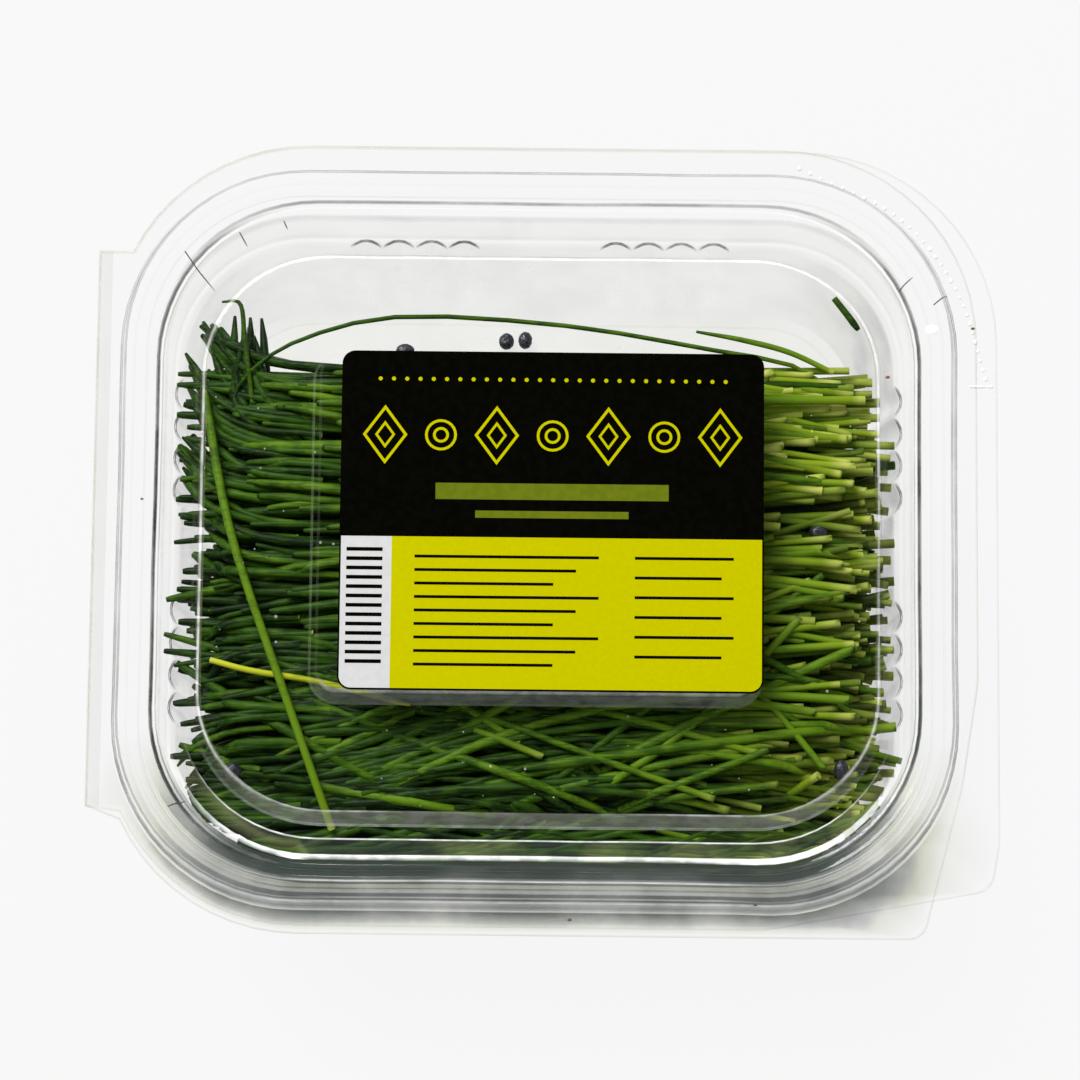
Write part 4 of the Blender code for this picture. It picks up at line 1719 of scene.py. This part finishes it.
@dataclass
class ChiveHeap:
    """The bunch of cut chives: rows of blades on every side of a dark packed middle, which is painted shade.
    """

    room: HeapRoom
    maker: BladeMaker
    over: Sequence[Vector]
    seed: int = 15
    # Each layer's tone falls with its depth: painted shade.
    layers: tuple[Layer, ...] = (
        Layer(0.0, 1.0, 36, 0.86, (-45, -30), (22, 50, 44)),
        Layer(1.0, 2.4, 56, 0.64, (-48, -33), (24, 50.5, 46)),
        Layer(2.4, 4.4, 84, 0.38, (-55, -41), (36, 52, 48)),
        Layer(4.4, 8.0, 130, 0.16, (-57, -46), (42, 53.5, 50)),
    )
    fan_blades: int = 36
    slant_blades: int = 26
    clumps: int = 17
    clump_blades: int = 10
    cut_blades: int = 70
    front_blades: int = 120
    back_blades: int = 100
    floor_blades: int = 80
    end_blades: int = 190
    width: Point = (1.1, 1.65)
    blunt_tip: Point = (0.05, 0.5)
    slim_tip: Point = (0.2, 0.3)
    spare: float = 0.6
    front_y: float = -48
    back_y: float = 24.5
    ragged: Point = (-1.6, 0.5)
    under: float = 1.5
    slope: float = 0.3
    aside: float = 3.5
    hull_view: float = 2.4
    in_sight: tuple[Triple, ...] = ((42, 1.6, 39.4), (49, -34.6, 38), (-49.2, -39, 38))
    top_z: float = 41.9
    tuft_blades: int = 20
    core_size: Triple = (92, 60, 33)
    core_middle: Triple = (-1, -10.5, 20.5)
    core_round: float = 7
    core_ripple: float = 1.4
    bent: tuple[tuple[float, float, tuple[Triple, ...]], ...] = (
        (
            0.75,
            0.5,
            (
                (45, 19, 35),
                (39.5, 26.2, 38.6),
                (23.4, 29.5, 39.2),
                (2, 32.9, 38.9),
                (-22.5, 33.9, 39.2),
                (-37.7, 30, 39.6),
                (-46.1, 24.3, 38.8),
                (-49, 18, 35),
            ),
        ),
        (0.95, 1.0, ((43.8, 26.0, 38.4), (37, 28.9, 39.4), (30, 30.6, 39.9), (22.8, 31.8, 40.2))),
        (
            0.8,
            0.4,
            ((-44.6, 17, 36), (-45.3, 23.8, 38.8), (-46.2, 30, 39.4), (-47, 35.6, 39.4), (-49.8, 36, 39)),
        ),
    )

    def laid(
        self,
        rng: random.Random,
        points: Sequence[Triple],
        tone: float,
        pale: float,
        blunt: bool = True,
        limit: float = 26.2,
    ) -> Blade:
        """A blade along points in millimetres, kept inside the pack.

        Args:
            rng: the source of chance.
            points: its rough path.
            tone: how bright it is, from 0 to 1.
            pale: how pale its cut end is.
            blunt: whether its tip is short and round, or long and slim.
            limit: how far back it may reach.

        Returns:
            The blade.
        """
        width = rng.uniform(*self.width) * MM
        reach = limit + rng.uniform(*self.ragged)
        path = [Vector((x, min(y, reach), z)) * MM for x, y, z in points]
        path = [self.pressed(place / MM) * MM for place in smooth_path(path, self.maker.points)]
        kept = self.room.kept(path, width * self.spare)
        taper, tip = self.blunt_tip if blunt else self.slim_tip
        return Blade(kept, width, min(1, max(0, tone)), pale, taper, tip)

    def pressed(self, place: Vector) -> Vector:
        """A place, in millimetres, kept under the loose blades.

        Args:
            place: a place in the heap.

        Returns:
            The place, lowered where need be.
        """
        height = place.z
        for upper in self.over:
            aside = math.hypot(place.x - upper.x, place.y - upper.y)
            height = min(height, upper.z - self.under + self.slope * max(0, aside - self.aside))
        return Vector((place.x, place.y, height))

    def shaded(self, rng: random.Random, depth: float) -> float:
        """The tone of a blade so many millimetres under the top of the heap, darker the deeper as painted
        shade.
        """
        return max(rng.gauss(0.8, 0.12) - 0.17 * depth, rng.uniform(0.05, 0.2))

    def paleness(self, rng: random.Random, y: float) -> float:
        """How pale a cut end is: most of all in the back half."""
        return rng.random() ** 0.5 if y > -6 else 0.75 * rng.random() ** 1.2

    def rows(self, rng: random.Random, layer: Layer) -> Iterable[Blade]:
        """One layer, whose blades run along the pack and cross each other in the front half.

        Args:
            rng: the source of chance.
            layer: which one.

        Returns:
            Its blades.
        """
        span = self.back_y - self.front_y
        for index in range(layer.blades):
            y = self.front_y + span * ((index + 0.5) * EVEN_STEP % 1)
            front = min(1, max(0, (-10 - y) / 14))
            depth = rng.uniform(layer.upper, layer.lower)
            right = rng.triangular(*layer.right)
            left = rng.uniform(*layer.left)
            if rng.random() < 0.16 + 0.3 * front:
                left = right - rng.uniform(42, 84)
            lean = rng.gauss(0, 2.0 + 4.2 * front)
            bow = rng.gauss(0, 1.4 + 2.0 * front)
            splay = rng.gauss(0.5, 2.6) * (1 - front)
            hook = ((y + 8) / 32 * rng.uniform(0.5, 4.5) + rng.gauss(0, 1.4)) * (left < -40)
            sag = rng.uniform(-1.0, 0.2)
            points = []
            for share in (0, 0.25, 0.5, 0.72, 0.88, 1):
                arch = math.sin(math.pi * share)
                x = right + (left - right) * share
                side = lean * (share - 0.5) * 2 + bow * arch + hook * share**4 + splay * (1 - share) ** 3
                points.append((x, y + side, self.top_z - depth + sag * arch - 0.6 * share**4))
            # Tone and paleness: painted shade by the layer's depth, darker towards the front, brighter
            # towards the back, and random.
            back = min(1, max(0, y / 14))
            tone = rng.gauss(layer.tone, 0.13) * (0.9 - 0.6 * front) + back * (0.2 * layer.tone + 0.2)
            pale = min(1, self.paleness(rng, y) * (layer.tone * (0.9 + 0.9 * back) + 0.3 * back))
            yield self.laid(rng, points, tone, pale)

    def fan(self, rng: random.Random) -> Iterable[Blade]:
        """Long bright blades of the front half that sweep up towards the cut ends.

        Args:
            rng: the source of chance.

        Returns:
            The blades.
        """
        for index in range(self.fan_blades):
            share = index * EVEN_STEP % 1
            depth = rng.random() * 2.2
            x, y = rng.uniform(28, 52), -46 + 44 * share
            angle = math.radians(rng.gauss(188 + 8 * (1 - share), 8))
            long = rng.uniform(58, 94)
            bend = rng.gauss(0.12, 0.14)
            points = []
            for step in range(5):
                way = angle + bend * (step / 4 - 0.5) * 2
                points.append((x, y, self.top_z - depth + rng.uniform(-0.3, 0.3)))
                x, y = x + long / 4 * math.cos(way), y + long / 4 * math.sin(way)
            yield self.laid(rng, points, self.shaded(rng, depth) - 0.1, self.paleness(rng, y))

    def slants(self, rng: random.Random) -> Iterable[Blade]:
        """Blades that lie across the others, most of them over the front half.

        Args:
            rng: the source of chance.

        Returns:
            The blades.
        """
        for _ in range(self.slant_blades):
            x, y = rng.uniform(-36, 40), rng.triangular(-46, 14, -34)
            angle = rng.choice((-1, 1)) * rng.triangular(0.1, 0.75, 0.22)
            half = rng.uniform(24, 42)
            bow = rng.gauss(0, 3)
            depth = rng.uniform(-0.9, 1.6)
            points = []
            for share in (1, 0.5, 0, -0.5, -1):
                along = half * share
                side = bow * (1 - share**2)
                across = x + along * math.cos(angle) - side * math.sin(angle)
                points.append((across, y + along * math.sin(angle) + side, self.top_z - depth))
            yield self.laid(rng, points, self.shaded(rng, max(0, depth)) - 0.12, 0.3 * self.paleness(rng, y))

    def left_tips(self, rng: random.Random) -> Iterable[Blade]:
        """Clumps of dark tips that bend up or down together against the wall at the hinge's end.

        Args:
            rng: the source of chance.

        Returns:
            The blades.
        """
        for index in range(self.clumps):
            middle_y = -44 + 70 * (index + 0.5) / self.clumps
            turn = 3 + (middle_y + 8) / 30 * 6 if middle_y > -12 else -2.5
            turn += rng.gauss(0, 2)
            reach = rng.uniform(-57, -51.5)
            for _ in range(self.clump_blades):
                y = middle_y + rng.gauss(0, 1.7)
                z = rng.uniform(28, 40.6)
                start = rng.uniform(-38, -24)
                end = reach + abs(rng.gauss(0, 2.4))
                middle = start * 0.5 + end * 0.5
                points = (
                    (start, y, z),
                    (middle, y + turn * 0.12, z + 0.4),
                    (middle * 0.4 + end * 0.6, y + turn * 0.4, z),
                    (end, y + turn + rng.gauss(0, 0.9), z - rng.uniform(0.5, 4)),
                )
                yield self.laid(rng, points, rng.triangular(0.04, 0.62, 0.2), 0, rng.random() < 0.5, 34)

    def corner_tuft(self, rng: random.Random) -> Iterable[Blade]:
        """The dark tuft of tips at the back corner near the hinge.

        Args:
            rng: the source of chance.

        Returns:
            The blades.
        """
        for _ in range(self.tuft_blades):
            x = rng.uniform(-50, -43)
            z = rng.uniform(32, 38)
            tip = (x * 0.4 - 27.5 + rng.uniform(-1, 1), rng.uniform(26, 36), z)
            points = ((x + 12, 12, z - 2), (x + 2, 20, z), tip)
            yield self.laid(rng, points, rng.uniform(0.03, 0.3), 0, False, 37)

    def right_cuts(self, rng: random.Random) -> Iterable[Blade]:
        """Cut ends that stick out away from the hinge.

        Args:
            rng: the source of chance.

        Returns:
            The blades.
        """
        for index in range(self.cut_blades):
            y = -45 + 68 * (index * EVEN_STEP % 1)
            depth = rng.random() * 12
            z = self.top_z - depth
            right = rng.uniform(38, 51.5)
            lean = rng.gauss(0, 2.2)
            points = ((right, y + lean, z), (right - 20, y, z), (right - 42, y + rng.gauss(0, 1.5), z - 1))
            yield self.laid(rng, points, self.shaded(rng, depth * 0.4), self.paleness(rng, y))

    def side_row(self, rng: random.Random, y: float, z: float) -> Blade:
        """A blade that runs along a side of the heap.

        Args:
            rng: the source of chance.
            y: how far back it lies.
            z: its height.

        Returns:
            The blade.
        """
        right, left = rng.uniform(30, 50), rng.uniform(-56, -30)
        drift, bow = rng.gauss(0, 2), rng.gauss(0, 1)
        points = []
        for share in (0, 0.35, 0.7, 1):
            x = right + (left - right) * share
            points.append((x, y + bow * math.sin(math.pi * share), z + drift * (share - 0.5)))
        return self.laid(rng, points, rng.uniform(0.1, 0.55), 0.6 * rng.random())

    def sides(self, rng: random.Random) -> Iterable[Blade]:
        """Rows on the front, the back and the floor of the heap.

        Args:
            rng: the source of chance.

        Returns:
            The blades.
        """
        for index in range(self.front_blades):
            z = 3.5 + 34 * (index * EVEN_STEP % 1)
            wall = (self.room.wall_inset(z * MM) - self.room.plan.half_y) / MM
            yield self.side_row(rng, wall + rng.uniform(0.7, 2.4), z)
        for index in range(self.back_blades):
            z = 3.5 + 36 * (index * EVEN_STEP % 1)
            yield self.side_row(rng, 18 + 6 * z / 38 + rng.uniform(-1.5, 0.8), z)
        for index in range(self.floor_blades):
            yield self.side_row(rng, -40 + 58 * (index * EVEN_STEP % 1), rng.uniform(2.4, 4))

    def ends(self, rng: random.Random) -> Iterable[Blade]:
        """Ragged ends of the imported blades, at both ends and every height.

        Args:
            rng: the source of chance.

        Returns:
            The blades.
        """
        for side in (-1, 1):
            for index in range(self.end_blades):
                y = -44 + 65 * (index * EVEN_STEP % 1)
                z = 4 + 31 * (index * SECOND_EVEN_STEP % 1)
                tip = (side * rng.uniform(46, 54), y + rng.gauss(0, 2), z + rng.gauss(0, 1.5))
                points = ((side * 26, y, z), (side * 38, y + rng.gauss(0, 1), z), tip)
                ordered = points if side < 0 else points[::-1]
                yield self.laid(rng, ordered, rng.uniform(0.03, 0.4), 0.7 * (side > 0) * rng.random())

    def grown(
        self, rng: random.Random, groups: Sequence[Callable[[random.Random], Iterable[Blade]]]
    ) -> list[Blade]:
        """The blades of some groups that have room in the pack."""
        return [blade for group in groups for blade in group(rng) if self.wanted(blade)]

    def wanted(self, blade: Blade) -> bool:
        """Whether a blade has room in the pack and doesn't hide a seed hull.

        Args:
            blade: which one.

        Returns:
            Whether it stays.
        """
        if len(blade.path) < 3:
            return False
        for step in range(40):
            place = place_on(blade.path, step / 39) / MM
            for x, y, z in self.in_sight:
                if place.z > z and math.hypot(place.x - x, (place.y - y) * 1.2) < self.hull_view:
                    return False
        return True

    def core(self) -> Piece:
        """The dark packed middle, painted shade that shows only between the blades.

        Returns:
            The piece.
        """
        bm = bmesh.new()
        bmesh.ops.create_cube(bm, size=1)
        bmesh.ops.scale(bm, vec=Vector(self.core_size) * MM, verts=bm.verts)
        bmesh.ops.translate(bm, vec=Vector(self.core_middle) * MM, verts=bm.verts)
        bmesh.ops.bevel(
            bm,
            geom=list(bm.edges),
            offset=self.core_round * MM,
            affect="EDGES",
            segments=4,
            profile=0.5,
            material=-1,
        )
        bmesh.ops.subdivide_edges(bm, edges=list(bm.edges), cuts=3, use_grid_fill=True)
        for corner in bm.verts:
            ripple = noise.noise(Vector((corner.co.x * 30, corner.co.y * 420, corner.co.z * 420)))
            corner.co += corner.normal * ripple * self.core_ripple * MM
            if corner.co.y < -20 * MM:
                corner.co.y -= 5.8 * MM * min(1, max(0, corner.co.z / (22 * MM) - 0.1)) + 1 * MM
        bmesh.ops.recalc_face_normals(bm, faces=bm.faces)
        return made_piece("heap_core", bm, [HEAP_PAINTED_SHADE], Body.TRAY, Slot.GREEN)

    def bent_blades(self) -> Piece:
        """The few blades that stand out of the bunch in long bends.

        Returns:
            The piece.
        """
        maker = BladeMaker(points=22, resolution=2)
        blades = []
        for width, tone, points in self.bent:
            path = [Vector(point) * MM for point in points]
            blades.append(Blade(path, width * MM, tone, 0.6, 0.5, 0.45))
        return blade_piece("bent_blades", maker.mesh(blades))

    def fused(self, name: str, blades: Sequence[Blade]) -> Piece:
        """One piece of many blades."""
        LOG.info("%s: %d blades", name, len(blades))
        return blade_piece(name, self.maker.mesh(blades))

    def build(self) -> None:
        """Builds the bunch over its solid."""
        rng = random.Random(self.seed)
        rows = [blade for layer in self.layers for blade in self.rows(rng, layer)]
        across = self.grown(rng, (self.fan, self.slants, self.right_cuts))
        tips = self.grown(rng, (self.left_tips, self.corner_tuft))
        sides = self.grown(rng, (self.sides, self.ends))
        pieces = (
            self.fused("heap_rows", [blade for blade in rows if self.wanted(blade)]),
            self.fused("heap_across", across + tips),
            self.fused("heap_sides", sides),
            self.bent_blades(),
            self.core(),
        )
        for piece in pieces:
            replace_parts(piece, "chive_bunch")


@dataclass(frozen=True)
class LooseBlade:
    """A single blade on the heap: its solid's node, its path and width in millimetres, and its looks."""

    node: str
    points: tuple[Triple, ...]
    width: float
    tone: float
    slot: Slot
    skin: ChiveSkin = CHIVE_SKIN


LONG_PATH = (
    (-31.6, -45, 37.9),
    (-33.5, -40, 40.9),
    (-38.6, -26, 41.6),
    (-46.2, -5, 41.5),
    (-49.6, 8, 40.4),
    (-52.2, 22.4, 38),
)
YELLOW_PATH = ((-50.4, -19.6, 38.8), (-44, -21.4, 40), (-34, -23, 40.2), (-20, -26.4, 40.2))
END_PATH = ((48.6, 21.7, 38.6), (33, 20.9, 41.1), (18, 20.6, 41.1), (4, 19, 40.4))


@dataclass
class LooseBlades:
    """Single blades that lie on the heap, each in place of its solid."""

    maker: BladeMaker = field(default_factory=lambda: BladeMaker(points=16, resolution=2))
    pale: float = 0.7
    blades: tuple[LooseBlade, ...] = (
        LooseBlade("loose_blade_long", LONG_PATH, 1.35, 0.95, Slot.GREEN),
        LooseBlade("loose_blade_yellow", YELLOW_PATH, 1.0, 1.0, Slot.YELLOW, YELLOW_SKIN),
        LooseBlade("loose_blade_end", END_PATH, 1.5, 0.9, Slot.PALE),
    )

    def resting(self) -> list[Vector]:
        """Places in millimetres along the loose blades, for what they press down."""
        paths = ([Vector(point) for point in blade.points] for blade in self.blades)
        return [place for path in paths for place in smooth_path(path, self.maker.points)]

    def build(self) -> None:
        """Builds the blades over their solids."""
        for blade in self.blades:
            path = [Vector(point) * MM for point in blade.points]
            bm = self.maker.mesh([Blade(path, blade.width * MM, blade.tone, self.pale)])
            obj = blade_piece(f"{blade.node}_fine", bm, blade.skin, slot=blade.slot)
            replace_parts(obj, blade.node)


@dataclass
class SeedHulls:
    """The black seed coats: angular, wrinkled shells, each over its solid."""

    count: int = 6
    wrinkle: float = 0.16 * MM
    ridges: float = 5
    grains: float = 14
    flattened: float = 0.16
    flat_side: Triple = (0.6, -0.3, 0.74)

    def build(self) -> None:
        """Builds a hull over each of the solids."""
        for index in range(self.count):
            node = f"seed_hull_{index + 1}"
            low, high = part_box(node)
            middle, size = (low + high) / 2, high - low
            bm = bmesh.new()
            bmesh.ops.create_icosphere(bm, subdivisions=4, radius=0.5)
            for corner in bm.verts:
                ridge = abs(noise.noise(corner.co * self.ridges + Vector((index * 7, 0, 0))))
                fine = noise.noise(corner.co * self.grains + Vector((index * 3, 5, 0)))
                facing = max(0, corner.co.normalized().dot(Vector(self.flat_side)))
                flat = 1 - self.flattened * facing**2
                spread = Vector((corner.co.x * size.x, corner.co.y * size.y, corner.co.z * size.z)) * flat
                depth = (ridge * 1.2 + fine * 0.4 + 0.1) * self.wrinkle
                corner.co = middle + spread - spread.normalized() * depth
            bmesh.ops.recalc_face_normals(bm, faces=bm.faces)
            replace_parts(made_piece(f"{node}_fine", bm, [HULL_COAT], Body.TRAY, Slot.HULL), node)


@dataclass
class Condensation:
    """Small drops of water under the raised top of the lid."""

    plan: PackOutline
    under: float
    seed: int = 4
    drops: int = 90
    inset: float = 14.5 * MM
    span_x: Point = (-52, 50)
    span_y: Point = (-43, 43)
    patches: float = 45
    wetter_to: float = -38
    wetter: float = 0.35
    sizes: Triple = (0.06, 0.26, 0.09)

    def places(self) -> Iterable[tuple[Vector, float]]:
        """Where the drops hang, and how large they are.

        Returns:
            Each drop's place and radius.
        """
        rng = random.Random(self.seed)
        made = 0
        while made < self.drops:
            place = Vector((rng.uniform(*self.span_x), rng.uniform(*self.span_y), 0)) * MM
            thick = noise.noise(place * self.patches) + self.wetter * (place.x < self.wetter_to * MM)
            if (place - self.plan.held(place, self.inset)).length > 0 or thick < rng.uniform(-0.2, 0.5):
                continue
            made += 1
            yield place, rng.triangular(*self.sizes) * MM

    def build(self) -> Piece:
        """Builds the drops as flattened beads that touch the sheet.

        Returns:
            The piece.
        """
        bm = bmesh.new()
        for place, radius in self.places():
            made = bmesh.ops.create_icosphere(bm, subdivisions=2, radius=radius)["verts"]
            bmesh.ops.scale(bm, vec=(1, 1, 0.5), verts=made)
            bmesh.ops.translate(bm, vec=(place.x, place.y, self.under - radius * 0.4), verts=made)
        return made_piece("lid_drops", bm, [WATER_DROP], Body.LID, Slot.CLEAR)


@dataclass
class FineMarks:
    """Scratches, moulded dots, specks and scraps on the clear sheets."""

    lid: Piece
    tray: Piece
    under: float
    scratches: tuple[tuple[Point, Point], ...] = (
        ((53.5, 38.3), (55.8, 40.3)),
        ((58.5, 35.6), (61.3, 38.0)),
        ((-47.6, 47.4), (-46.1, 44.7)),
        ((-40.7, 49.1), (-40.0, 47.5)),
        ((-56.4, 44.3), (-50.9, 37.6)),
        ((-56.6, -42.7), (-53.6, -41.2)),
    )
    specks: tuple[Point, ...] = ((-61.1, 4.5), (65.2, 33.1), (52.1, 25.2), (32, -56.3), (4.3, -58.5))
    dot_arc: tuple[Point, ...] = ((38.7, 58.4), (54.1, 50.6), (62.9, 39.1), (67.2, 25.4))
    dots: int = 30
    bar: tuple[Point, ...] = tuple((65 + index * 0.5, 24.2) for index in range(7))
    spot: Point = (58.7, 32.1)
    scrap: tuple[Point, ...] = ((43.7, 36.5), (45.5, 34.2), (47.4, 31.6))
    scrap_drop: float = 0.45 * MM

    def dropped(self, obj: Piece, points: Sequence[Point], above: float) -> list[Vector]:
        """Places in millimetres dropped onto a sheet.

        Args:
            obj: the sheet.
            points: the places seen from above.
            above: how far over the sheet they end, in metres.

        Returns:
            The places on the sheet.
        """
        tree = BVHTree.FromObject(obj, bpy.context.evaluated_depsgraph_get())
        hits = [tree.ray_cast(Vector((x * MM, y * MM, 0.1)), Vector((0, 0, -1)))[0] for x, y in points]
        return [hit + Vector((0, 0, above)) for hit in hits if hit]

    def beads(self, name: str, places: Sequence[Vector], size: Vector, finish: Finish, body: Body) -> None:
        """Builds flattened beads, each a little different.

        Args:
            name: the piece's name.
            places: their middles.
            size: their half sizes.
            finish: their material.
            body: what they ride on.
        """
        rng = random.Random(name)
        bm = bmesh.new()
        for place in places:
            made = bmesh.ops.create_icosphere(bm, subdivisions=2, radius=1)["verts"]
            bmesh.ops.scale(bm, vec=size * rng.uniform(0.8, 1.2), verts=made)
            bmesh.ops.translate(bm, vec=place, verts=made)
        made_piece(name, bm, [finish], body, Slot.CLEAR)

    def build(self) -> None:
        """Builds all the marks."""
        strokes = []
        for first, last in self.scratches:
            way = self.dropped(self.lid, between(first, last, 6) + [last], 0.02 * MM)
            strokes.append(Blade(way, 0.2 * MM, 0.1, 0, 0.4, 0.3))
        maker = BladeMaker(points=9)
        blade_piece("lid_scratches", maker.mesh(strokes), SCRATCH_DARK, Body.LID, Slot.CLEAR)
        path = smooth_path([Vector((x, y, 0)) for x, y in self.dot_arc], self.dots)
        dots = self.dropped(self.tray, [(place.x, place.y) for place in path], 0.0)
        self.beads("flange_dots", dots, Vector((0.3, 0.36, 0.16)) * MM, PALE_PLASTIC, Body.TRAY)
        bar = self.dropped(self.tray, self.bar, 0.0)
        self.beads("flange_bar", bar, Vector((0.34, 0.24, 0.16)) * MM, PALE_PLASTIC, Body.TRAY)
        spot = self.dropped(self.lid, [self.spot], 0.0)
        self.beads("lid_spot", spot, Vector((1.05, 0.75, 0.12)) * MM, PALE_PLASTIC, Body.LID)
        specks = self.dropped(self.lid, self.specks, 0.05 * MM)
        self.beads("lid_specks", specks, Vector((0.3, 0.2, 0.1)) * MM, BROWN_SPECK, Body.LID)
        level = Vector((0, 0, self.under - self.scrap_drop))
        scrap = [Vector((x, y, 0)) * MM + level for x, y in self.scrap]
        bm = maker.mesh([Blade(scrap, 1.1 * MM, 0.3, 0.1, 0.1, 0.6)])
        blade_piece("lid_scrap", bm, body=Body.LID)


@dataclass
class Studio:
    """Pale floor, soft lights and the camera that looks down on the pack."""

    distance: float = 0.80
    tilt: float = 11
    roll: float = 0.6
    lens: float = 175.4
    sensor: float = 36
    clip: float = 0.01
    target: Triple = (-0.74 * MM, -0.45 * MM, 38 * MM)
    backdrop: float = 0.939
    floor_size: float = 4.0
    floor_drop: float = 0.2 * MM
    room_light: float = 0.42
    room_colour: Colour = (0.95, 0.96, 0.97)
    softbox_watts: float = 11
    softbox_size: float = 0.5
    softbox: Triple = (-0.35, 0.5, 0.8)

    def floor(self) -> None:
        """The floor that the pack stands on, which isn't part of it."""
        bm = bmesh.new()
        bmesh.ops.create_grid(bm, x_segments=1, y_segments=1, size=self.floor_size / 2)
        mesh = bpy.data.meshes.new("studio_floor")
        bm.to_mesh(mesh)
        bm.free()
        mesh.materials.append(StudioFloor().material())
        obj = bpy.data.objects.new("studio_floor", mesh)
        obj.location.z = -self.floor_drop
        bpy.context.scene.collection.objects.link(obj)

    def light(self, name: str, place: Triple, size: float, watts: float) -> None:
        """A soft square light aimed at the pack.

        Args:
            name: its name.
            place: where it stands.
            size: its width.
            watts: its power.
        """
        lamp = bpy.data.lights.new(name, "AREA")
        lamp.size = size
        lamp.energy = watts
        obj = bpy.data.objects.new(name, lamp)
        obj.location = place
        obj.rotation_euler = (Vector(self.target) - Vector(place)).to_track_quat("-Z", "Y").to_euler()
        bpy.context.scene.collection.objects.link(obj)

    def lights(self) -> None:
        """Light from all round and one softbox above; the horizon looks as pale as the floor."""
        scene = bpy.context.scene
        scene.world = bpy.data.worlds.new("studio")
        scene.world.use_nodes = True
        nodes = Nodes(scene.world.node_tree)
        room = scene.world.node_tree.nodes["Background"]
        nodes.put(self.room_colour, room.inputs["Color"])
        nodes.put(self.room_light, room.inputs["Strength"])
        seen = nodes.add("Background")
        nodes.put((1.0, 1.0, 1.0), seen.inputs["Color"])
        nodes.put(self.backdrop, seen.inputs["Strength"])
        mix = nodes.add("MixShader")
        nodes.put(nodes.add("LightPath").outputs["Is Camera Ray"], mix.inputs[0])
        nodes.put(room.outputs[0], mix.inputs[1])
        nodes.put(seen.outputs[0], mix.inputs[2])
        nodes.put(mix.outputs[0], scene.world.node_tree.nodes["World Output"].inputs["Surface"])
        self.light("softbox", self.softbox, self.softbox_size, self.softbox_watts)
        scene.view_settings.view_transform = "Standard"

    def camera(self) -> None:
        """The camera, tilted from straight above towards the front."""
        data = bpy.data.cameras.new("camera")
        data.lens = self.lens
        data.sensor_width = self.sensor
        data.clip_start = self.clip
        cam = bpy.data.objects.new("camera", data)
        angle = math.radians(self.tilt)
        back = Vector((0, -math.sin(angle), math.cos(angle)))
        cam.location = Vector(self.target) + back * self.distance
        roll = Matrix.Rotation(math.radians(self.roll), 3, "Z")
        cam.rotation_euler = ((-back).to_track_quat("-Z", "Y").to_matrix() @ roll).to_euler()
        bpy.context.scene.collection.objects.link(cam)
        bpy.context.scene.camera = cam

    def build(self) -> None:
        """Builds floor, lights and camera."""
        self.floor()
        self.lights()
        self.camera()


def main() -> None:
    """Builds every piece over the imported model."""
    logging.basicConfig(level=logging.INFO, format="%(name)s %(message)s")
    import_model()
    plan = PackOutline()
    press = SheetPress()
    tray_sheet = TraySheet(plan, press).build()
    lid = LidSheet(plan, press)
    lid_sheet = lid.build()
    HingeWeb(plan, press).build()
    Label().build(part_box("label")[0].z)
    loose = LooseBlades()
    ChiveHeap(HeapRoom(plan), BladeMaker(), loose.resting()).build()
    loose.build()
    SeedHulls().build()
    Condensation(plan, lid.top_z() - press.sheet / 2).build()
    FineMarks(lid_sheet, tray_sheet, lid.top_z() - press.sheet / 2).build()
    Studio().build()


if __name__ == "__main__":
    main()
